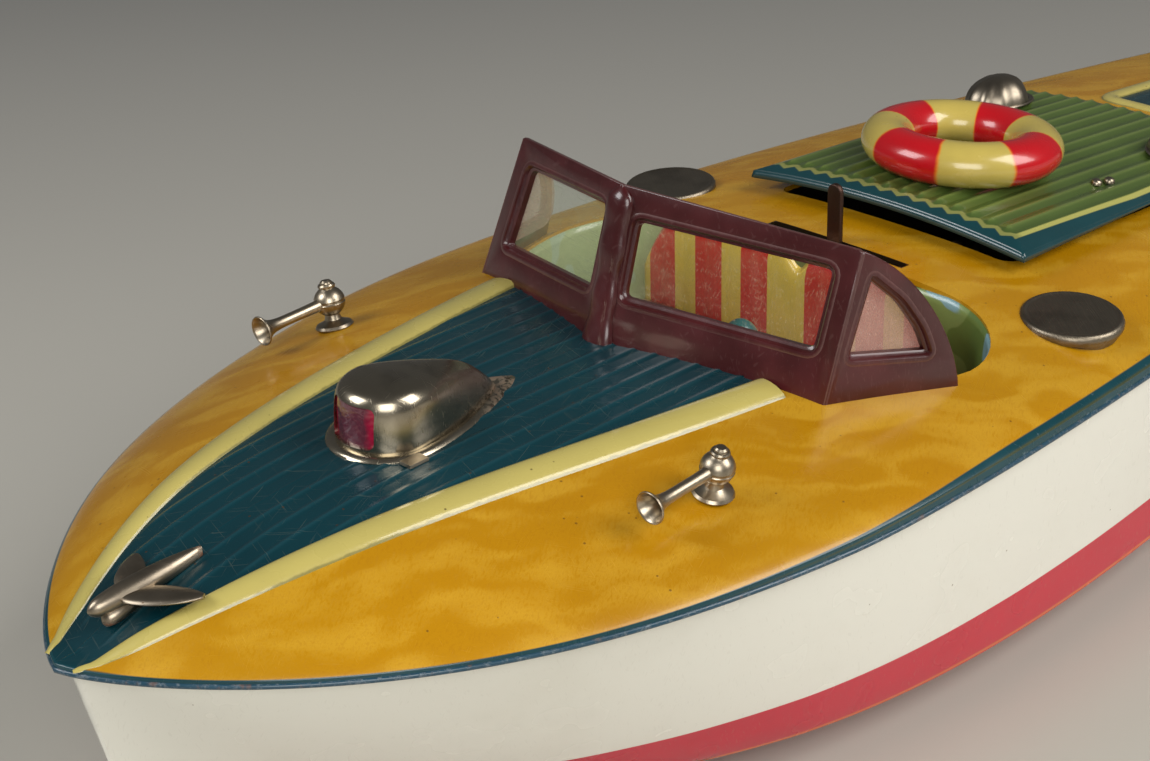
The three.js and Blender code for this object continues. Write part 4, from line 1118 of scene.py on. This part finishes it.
def fold():
    """The lumpy crease where the two halves meet, wide and shallow."""
    rings = []
    for t in np.linspace(0, 1, 40):
        centre = np.array(FOOT) * (1 - t) + np.array(TOP) * t - [0, 0.25, 1.6 * (1 - t) + 0.3]
        swell = 1 + 0.08 * math.sin(9 * t + 1) + 0.07 * math.sin(23 * t) + 0.2 * (1 - t) ** 3
        taper = 1 - 0.75 * max(0, (t - 0.93) / 0.07) ** 2
        rings.append([centre + np.array([2.25 * math.cos(a), -1.15 * math.sin(a), 0.3 * math.sin(a)])
                      * swell * taper for a in around(20)])
    return tube_shell(rings)


def rod(start, end, radius, steps=16):
    """A rounded rod between two points."""
    start, end = Vector(start), Vector(end)
    turn = (end - start).to_track_quat("Z", "Y").to_matrix().to_4x4()
    turn.translation = start
    length = (end - start).length
    profile = [(0.01, -radius * 0.6), (radius * 0.7, -radius * 0.4), (radius, 0), (radius, length),
               (radius * 0.7, length + radius * 0.4), (0.01, length + radius * 0.6)]
    return tube_shell(turned(lathe(profile, steps), turn))


def windscreen_side(side):
    """One half: its panels' frames, its corner points and the corner seen in either panel."""
    corner = (35.6, 108.0, 52.4)
    front = panel_matrix(FOOT, corner, TOP)
    seen = (38.7, 22.5) if side > 0 else (31.6, 23.4)
    top = front @ Vector((*seen, 0))
    wing = panel_matrix(corner, (43.6, 129.0, 49.2), top)
    peak = wing.inverted() @ top
    return front, wing, corner, top, seen, (peak.x, peak.y)


def polygon_with_round_corners(corners, radii):
    """The corners' outline with each corner rounded by its own radius."""
    out, count = [], len(corners)
    for k, r in enumerate(radii):
        a, b, c = (np.array(corners[(k + d) % count], float) for d in (-1, 0, 1))
        p = b + (a - b) / np.linalg.norm(a - b) * r
        q = b + (c - b) / np.linalg.norm(c - b) * r
        out += [tuple((1 - t) ** 2 * p + 2 * t * (1 - t) * b + t * t * q) for t in np.linspace(0, 1, 6)]
    return out


def build_windscreen():
    """Two pressed halves with curved wings, bent tabs at the foot and rolled window edges; four panes."""
    behind = Matrix.Translation((0, 0, -1.5))
    sheet = [fold()]
    for side, name in ((1, "port"), (-1, "starboard")):
        mirror = side < 0
        front, wing, corner, top, (tx, ty), peak = windscreen_side(side)
        foot = [(0, -1.0), (6, -1.2), (12, -1.5), (18, -1.4), (22.3, -1.2), (23.6, 0.4), (24.4, 0.6),
                (25.2, -0.9), (28.2, -2.6), (28.9, -2.4), (29.0, -1.0), (30.2, -1.2), (32, -1.4),
                (37.3, -1.3)]
        outline = foot + [(tx + 0.2, ty), (tx - 0.4, ty + 0.25), (0, 24.1)]
        if side > 0:
            corners = [(2.6, 6.7), (34.7, 6.3), (35.6, 19.6), (3.0, 19.8)]
        else:
            corners = [(4.1, 6.3), (32.6, 5.1), (29.0, 19.9), (3.6, 20.6)]
        window = polygon_with_round_corners(corners, [1.9] * 4)
        sheet.append(plate("front", outline, [window], 0.8, front, mirror=mirror))
        sheet.append(lip(window, 1.3, front, mirror))
        wing_edge = [(-0.3, -1.4), (6, -1.6), (12, -1.4), (12.6, -2.2), (14.6, -2.4), (15.2, -1.3),
                     (17.2, -1.2), (17.6, -0.3), (21.4, -0.2), (22.9, 0.2)]
        wing_edge += bezier((22.9, 0.2), (21.2, 8.8), (13.6, 18.6), (peak[0] + 0.4, peak[1]), 16)
        corners = [(2.7, 5.9), (17.6, 5.7), (15.4, 10.0), (11.2, 14.8), (5.2, 19.0)]
        side_window = polygon_with_round_corners(corners, [1.4, 1.6, 1.6, 1.8, 1.0])
        sheet.append(plate("wing", wing_edge + [(peak[0] - 0.3, peak[1])], [side_window], 0.8, wing,
                           mirror=mirror))
        sheet.append(lip(side_window, 1.3, wing, mirror))
        flip = np.array([side, 1, 1])
        sheet.append(rod(flip * corner - [0, 0, 1], flip * np.array(top) - [0, 0, 0.25], 0.48))
        haze = CLEAR_PORT if side > 0 else CLEAR_STARBOARD
        for kind, loop, matrix, clear in (("front", window, front, haze),
                                          ("side", side_window, wing, CLEAR_SIDE)):
            node = f"pane_{kind}_{name}"
            pane = plate("pane", inset_loop(loop, -1.2), [], 0.3, matrix @ behind, 0.05, mirror)
            build(node, *pane, "boat", "celluloid", [node], clear)
    build("windscreen", *merged(*sheet), "boat", "maroon_enamel", ["windscreen_frame"], sharp=32)


CLEAR_PORT = celluloid("celluloid_port", 0.02, (200, 184, 150))
CLEAR_STARBOARD = celluloid("celluloid_starboard", 0.16, (150, 160, 128))
CLEAR_SIDE = celluloid("celluloid_side", 0.4, (196, 160, 146))


# ---- cockpit ----

def build_cockpit():
    """The tub: walls that lean in to a rounded floor."""
    outline = np.array(cockpit_outline(0.25))
    centre = np.array([0, 128.0])
    rings = []
    outward = (outline - centre) / np.linalg.norm(outline - centre, axis=1)[:, None]
    top = deck_height(outline[:, 0], outline[:, 1]) - 0.5
    deep, floor = 18.5, 30.2
    for depth, shrink in [(0, 0), (1.5, 0.1), (4, 0.3), (8, 0.7), (12, 1.3), (15, 2.2), (17, 3.6), (18, 5.4),
                          (18.4, 8), (deep, 14)]:
        inward = outline - outward * shrink
        z = top * (1 - depth / deep) + floor * depth / deep
        rings.append(np.stack([inward[:, 0], inward[:, 1], z], -1))
    rings = np.array(rings)
    rows, columns = rings.shape[:2]
    faces = grid_faces(rows, columns, wrap=True)
    faces.append([(rows - 1) * columns + k for k in range(columns)])
    tub = build("cockpit", rings.reshape(-1, 3), faces, "boat", "green_print", ["cockpit_tub"], sharp=50)
    thicken(tub, 0.6)


def seat_top(x):
    """Height of the seat back's edge: two rounded lobes with a dip between them."""
    dip = 3.3 * math.exp(-(abs(x - 1.8) / 2.2) ** 1.5)
    shoulder = 8.0 * max(0, (abs(x - 1.0) - 22) / 9) ** 2.4
    return 55.2 - dip - shoulder


def pleat(x):
    """From 0 in the creases to 1 on the crests of the seat's upright pleats."""
    return abs(math.sin((x - 1.8) * math.pi / 4.85)) ** 0.6


def build_seat():
    """The striped seat: a back with two lobes and a rolled top, and a cushion before it."""
    columns = np.linspace(-30.6, 30.6, 124)
    rows = np.linspace(0, 1, 18)
    front = []
    for x in columns:
        hollow = 1.3 * (abs(x) / 30) ** 3
        for t in rows:
            roll = 1.1 * max(0, t - 0.86) / 0.14
            front.append((x, 142.2 - 0.35 * pleat(x) - hollow + roll ** 2,
                          SEAT_FLOOR + (seat_top(x) - SEAT_FLOOR) * t))
    back = build("seat_back_pad", front, grid_faces(len(columns), len(rows)), "boat", "striped_print",
                 ["seat_back"], sharp=60)
    thicken(back, 0.9)
    profile = [(141.2, 37.4), (136, 37.8), (130, 37.7), (127.6, 37.0), (126.9, 35.6), (126.9, 30.6)]
    cushion = [(x, s, z + 0.3 * pleat(x)) for x in columns for s, z in profile]
    pad = build("seat_pad", cushion, grid_faces(len(columns), len(profile)), "boat", "striped_print",
                ["seat_cushion"], sharp=70)
    thicken(pad, 0.8)


def build_console():
    """A pointed dome on a stalk at the dash."""
    dome = [(3.2, 0), (3.6, 8), (3.7, 13), (3.6, 16), (3.1, 18.2), (2.2, 19.9), (1.0, 20.9), (0.0, 21.2)]
    rings = turned(lathe(smooth_profile(dome, 3), 32), frame_at(7, 122.5, SEAT_FLOOR))
    build("console", *tube_shell(rings), "boat", "teal_print", ["dash_console"])


# ---- amidships ----

def build_caps():
    """Two round caps with rolled rims."""
    profile = [(7.4, -0.9), (7.6, 0.0), (8.0, 0.25), (8.2, 0.75), (8.2, 1.3), (8.0, 1.75), (7.7, 1.98),
               (7.4, 2.0), (7.2, 1.9), (6.8, 1.88), (3, 1.9), (0.02, 1.9)]
    for side, name in ((1, "port"), (-1, "starboard")):
        seat = frame_at(side * CAP[0], CAP[1], float(deck_height(*CAP)) - 0.3, side * 0.05, 0.02)
        build(f"cap_{name}", *tube_shell(turned(lathe(profile, 64), seat)), "boat", "nickel",
              [f"cap_{name}"], NICKEL_CAP, sharp=35)


def build_lever():
    """The flat switch lever, with a round end below about its pivot."""
    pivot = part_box("control_lever")[0].z * 1000 + 3
    outline = [(-1.4, 2)]
    outline += [(-1.4 * math.cos(a), 23.0 + 1.4 * math.sin(a)) for a in np.linspace(0, math.pi, 9)]
    outline += [(1.4, 2)] + [(3 * math.cos(a), 3 * math.sin(a)) for a in np.linspace(0.9, -math.pi - 0.9, 20)]
    matrix = Matrix.Translation((0, SLOT_STATION, pivot)) @ Matrix.Rotation(math.pi / 2, 4, "X")
    build("lever", *plate("lever", outline, [], 1.0, matrix, 0.25), "lever", "dark_steel", ["control_lever"])


# ---- lid ----

def lid_half(v):
    """Half of the lid's width at a share of its length."""
    return 28.8 - 2.8 * v


def build_lid():
    """The ribbed lid, whose ribs make its cream line zigzag at both ends, and its skirt."""
    us, vs = np.linspace(-1, 1, 201), np.linspace(0, 1, 150)
    u, v = np.meshgrid(us, vs)
    half = lid_half(v)
    x = u * half
    s = LID_START + LID_LENGTH * v
    saw = 1 - abs(2 * ((x / 3.55) % 1.0) - 1)
    end = np.minimum(s - LID_START, LID_START + LID_LENGTH - s)
    side_margin = np.maximum(4.2 - 4.4 * v, 2.2)
    plain = np.minimum((half - abs(x)) / side_margin, end / 3.0)
    inside = np.minimum(half - abs(x) - side_margin, end - 3.0 + (saw - 0.5) * 0.9)
    ribs = np.clip(inside / 1.2, 0, 1) * (0.62 * saw ** 0.9)
    edge_drop = 1.35 * np.clip(1 - plain, 0, 1) ** 1.15
    z = lid_height(x, s) + ribs - edge_drop
    skin = build("hatch", np.stack([x, s, z], -1).reshape(-1, 3), grid_faces(len(vs), len(us)), "lid",
                 "hatch_print", ["hatch_lid"], sharp=55)
    attribute(skin, "crest", (np.clip(inside / 0.8, 0, 1) * saw).ravel())
    attribute(skin, "border", np.maximum(0, -inside).ravel())
    thicken(skin, 0.6)
    edge = ([(k, 0) for k in us] + [(1, k) for k in vs[1:]]
            + [(k, 1) for k in us[-2::-1]] + [(-1, k) for k in vs[-2:0:-1]])
    upper, lower = [], []
    for k, w in edge:
        px, ps = k * lid_half(w), LID_START + LID_LENGTH * w
        high = float(lid_height(px, ps)) - 1.35
        upper.append((px, ps, high))
        flare = 0.25 * np.array([np.sign(k) * (abs(k) == 1), (w == 1) * 1.0 - (w == 0)])
        lower.append((px + flare[0], ps + flare[1], max(float(deck_height(px, ps)) + 2.4, high - 1.3)))
    skirt = build("hatch_skirt", upper + lower, grid_faces(2, len(edge), wrap=True), "lid",
                  "hatch_print", sharp=50)
    attribute(skirt, "crest", np.zeros(2 * len(edge)))
    attribute(skirt, "border", np.full(2 * len(edge), 5.0))
    thicken(skirt, 0.6)


def build_ring():
    """The life ring, lying on the lid's ribs."""
    low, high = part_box("life_ring")
    tilt = math.atan((float(lid_height(0, 176.2)) - float(lid_height(0, 202.2))) / 26)
    turn = Matrix.Translation((0, RING_STATION, (low.z + high.z) * 500)) @ Matrix.Rotation(-tilt, 4, "X")
    section = [(13 + 4.6 * math.cos(b), 3.9 * math.sin(b)) for b in around(32)]
    rings = [[(r * math.cos(a), r * math.sin(a), z) for r, z in section] for a in around(96)]
    rings.append(rings[0])
    rings = turned(np.array(rings), turn)
    build("ring", rings.reshape(-1, 3), grid_faces(97, 32, wrap=True), "lid", "ring_print", ["life_ring"],
          sharp=80)


def build_vents():
    """Two fluted clamshells, open aft, each on a thin foot."""
    for side, name in ((1, "port"), (-1, "starboard")):
        seat = frame_at(side * VENT[0], VENT[1], float(lid_height(*VENT)) + 0.85, side * 0.1, -0.06)
        rings = []
        for t in np.linspace(0, 1, 15):
            r = math.cos(t * math.pi / 2) ** 0.8 if t < 1 else 0.001
            up = 5.4 * math.sin(t * math.pi / 2)
            flutes = [(a, r * (1 + 0.035 * math.cos(10 * a))) for a in around(48)]
            rings.append([(5.6 * f * math.cos(a), 7.6 * f * math.sin(a), up) for a, f in flutes])
        shell = loose_mesh("shell", *tube_shell(turned(np.array(rings), seat)))
        inner = np.array(rings) * [0.9, 0.93, 0.9] - [0, 0, 0.4]
        hollow = loose_mesh("hollow", *tube_shell(turned(inner, seat)))
        mouth_points, mouth_faces = tab_box(0, 0, 0, 1, 1, 1)
        mouth_points = turned(np.array([mouth_points]) * [20, 10, 20] + [0, 7.4, 10.6], seat)[0]
        mouth = loose_mesh("mouth", mouth_points, mouth_faces)
        dress(f"vent_{name}", combine(shell, [hollow, mouth]), "lid", "nickel", [f"vent_{name}"], sharp=50)
        brim = lathe([(0.01, 0), (7.1, 0), (7.2, 0.25), (7.0, 0.5), (0.01, 0.5)], 48) * [0.82, 1.12, 1]
        build(f"vent_foot_{name}", *tube_shell(turned(brim, seat)), "lid", "nickel", sharp=40)


def build_rivets():
    """The lid's two rivets and the one on the terminal board under it."""
    head = [(1.0, 0), (1.0, 0.3), (0.85, 0.6), (0.5, 0.85), (0.01, 0.92)]
    for name, x, s in (("fore", 20.4, 200.6), ("aft", 21.2, 203.4)):
        seat = frame_at(x, s, float(lid_height(x, s)) + 0.5, 0.1)
        build(f"rivet_{name}", *tube_shell(turned(lathe(head, 24), seat)), "lid", "nickel",
              [f"lid_rivet_{name}"], NICKEL_HORN)
    seat = frame_at(13, 170.2, 49.9)
    build("terminal", *tube_shell(turned(lathe(head, 24) * 1.25, seat)), "boat", "nickel", ["terminal_rivet"],
          NICKEL_HORN)


# ---- stern gear ----

def build_propeller():
    """Three twisted blades on a hub, square to the sloping shaft."""
    turn = (Matrix.Translation((0, PROPELLER_STATION, 11))
            @ Matrix.Rotation(-math.pi / 2 - math.atan(0.14), 4, "X"))
    hub = [(1.1, -2.6), (2.0, -2.5), (2.5, -1.8), (2.5, 1.8), (2.0, 2.5), (1.1, 2.6)]
    pieces = [tube_shell(turned(lathe(hub, 32), turn))]
    for k in range(3):
        rings = []
        for t in np.linspace(0, 1, 14):
            r = 1.8 + 7.1 * t
            chord = 3.3 * math.sin(math.pi * (0.16 + 0.8 * t) ** 0.9) ** 0.7 + 0.15
            twist = 0.95 - 0.45 * t
            ring = []
            for a in around(16):
                c, h = chord * math.cos(a), 0.36 * math.sin(a) * (1 - 0.4 * t)
                ring.append((c * math.cos(twist) - h * math.sin(twist), r,
                             c * math.sin(twist) + h * math.cos(twist)))
            rings.append(ring)
        spin = Matrix.Rotation(k * FULL_TURN / 3, 4, "Z")
        pieces.append(tube_shell(turned(np.array(rings), turn @ spin)))
    build("screw", *merged(*pieces), "drive", "brass", ["propeller"], sharp=40)


def build_rudder():
    """A rounded blade on a sleeve."""
    outline = [(1.2, 5.2), (5.4, 3.7)] + bezier((5.4, 3.7), (8, 4.2), (8, 7), (8, 9)) + [(8, 12)]
    outline += bezier((8, 12), (8, 16.5), (4, 19), (1.2, 19.8))
    upright = Matrix(((0, 0, 1, 0), (1, 0, 0, 0), (0, 1, 0, 0), (0, 0, 0, 1)))
    place = Matrix.Translation((0, RUDDER_STATION, 0))
    blade = plate("blade", outline, [], 0.8, place @ upright, 0.25)
    sleeve = [(1.25, 5), (1.8, 5), (2.0, 5.2), (2.0, 19.8), (1.8, 20), (1.25, 20), (1.25, 5)]
    build("rudder", *merged(blade, tube_shell(turned(lathe(sleeve, 28), place), cap=False)),
          "rudder", "brass", ["rudder_blade"], sharp=40)


for make in (build_deck, build_mouldings, build_rim, build_hull, build_ornament, build_lamp, build_horns,
             build_windscreen, build_cockpit, build_seat, build_console, build_caps, build_lever, build_lid,
             build_ring, build_vents, build_rivets, build_propeller, build_rudder):
    make()

# The CAD nodes that still show are hidden works and small fittings: each gets its slot's material.
slots = {part["node"]: part["material_slot"] for part in frame["record"]["subparts"]}
for node, obj in frame["nodes"].items():
    if not obj.hide_render:
        obj.data.materials.clear()
        obj.data.materials.append(BY_SLOT[slots[node]])


# ---- stage ----

def floor_with_painted_shade():
    """Pale and smooth, with painted shade: the colour darkens away from the lit corner."""
    shade = Shade("floor")
    cloud = shade.noise(260, 2)
    away = shade.s * 0.62 - shade.x * 0.78
    # Painted shade: the colour falls from pale near the lit corner to dark far from it, standing for the
    # light's falloff.
    base = shade.mix(shade.step(away, -150, 900), srgb(188, 185, 175), srgb(78, 80, 84))
    base = shade.scale(base, cloud * 0.06 + 0.97)
    return shade.set(color=base, rough=0.3, shine=0.25, normal=shade.bump(shade.noise(40, 1) * 0.05))


def build_stage():
    mesh = bpy.data.meshes.new("floor")
    corners = [(2.5 * x, 2.5 * y, 0) for x, y in ((-1, -1), (1, -1), (1, 1), (-1, 1))]
    mesh.from_pydata(corners, [], [(0, 1, 2, 3)])
    mesh.materials.append(floor_with_painted_shade())
    show("floor", mesh)


def area_light(name, place, aim, size, power, colour):
    light = bpy.data.lights.new(name, "AREA")
    light.shape, light.size, light.size_y = "RECTANGLE", size[0], size[1]
    light.energy, light.color = power, colour
    obj = show(name, light)
    obj.location = place
    obj.rotation_euler = (Vector(aim) - Vector(place)).to_track_quat("-Z", "Y").to_euler()


def build_lights():
    middle = (0, -0.03, 0.03)
    area_light("key", (0.78, 0.36, 0.74), middle, (0.6, 0.8), 10.4, (1.0, 0.975, 0.95))
    area_light("fill", (0.75, -0.75, 0.55), middle, (0.6, 0.6), 7, (1.0, 0.985, 0.96))
    area_light("left", (-0.6, -0.95, 0.85), (-0.15, -0.1, 0.0), (0.6, 0.6), 9.0, (0.99, 0.99, 1.0))
    world = bpy.data.worlds.new("studio")
    bpy.context.scene.world = world
    world.use_nodes = True
    background = world.node_tree.nodes["Background"]
    background.inputs[0].default_value = (0.74, 0.75, 0.76, 1)
    background.inputs[1].default_value = 0.12
    bpy.context.scene.view_settings.view_transform = "Standard"


def build_camera():
    """A camera off the port bow, looking down and aft, rolled a little."""
    azimuth, elevation, roll = (math.radians(d) for d in (45.61, 26.40, -1.71))
    back = Vector((math.sin(azimuth) * math.cos(elevation), -math.cos(azimuth) * math.cos(elevation),
                   math.sin(elevation)))
    right = Vector((math.cos(azimuth), math.sin(azimuth), 0))
    up = back.cross(right)
    tilted = right * math.cos(roll) + up * math.sin(roll)
    turned_up = up * math.cos(roll) - right * math.sin(roll)
    camera = bpy.data.cameras.new("camera")
    camera.sensor_width, camera.lens = 36, 71.186
    camera.clip_start, camera.clip_end = 0.01, 20
    obj = show("camera", camera)
    pose = Matrix((tilted, turned_up, back)).transposed().to_4x4()
    pose.translation = metres([218.69, -121.22, 201.44])
    obj.matrix_world = pose
    bpy.context.scene.camera = obj


build_stage()
build_lights()
build_camera()
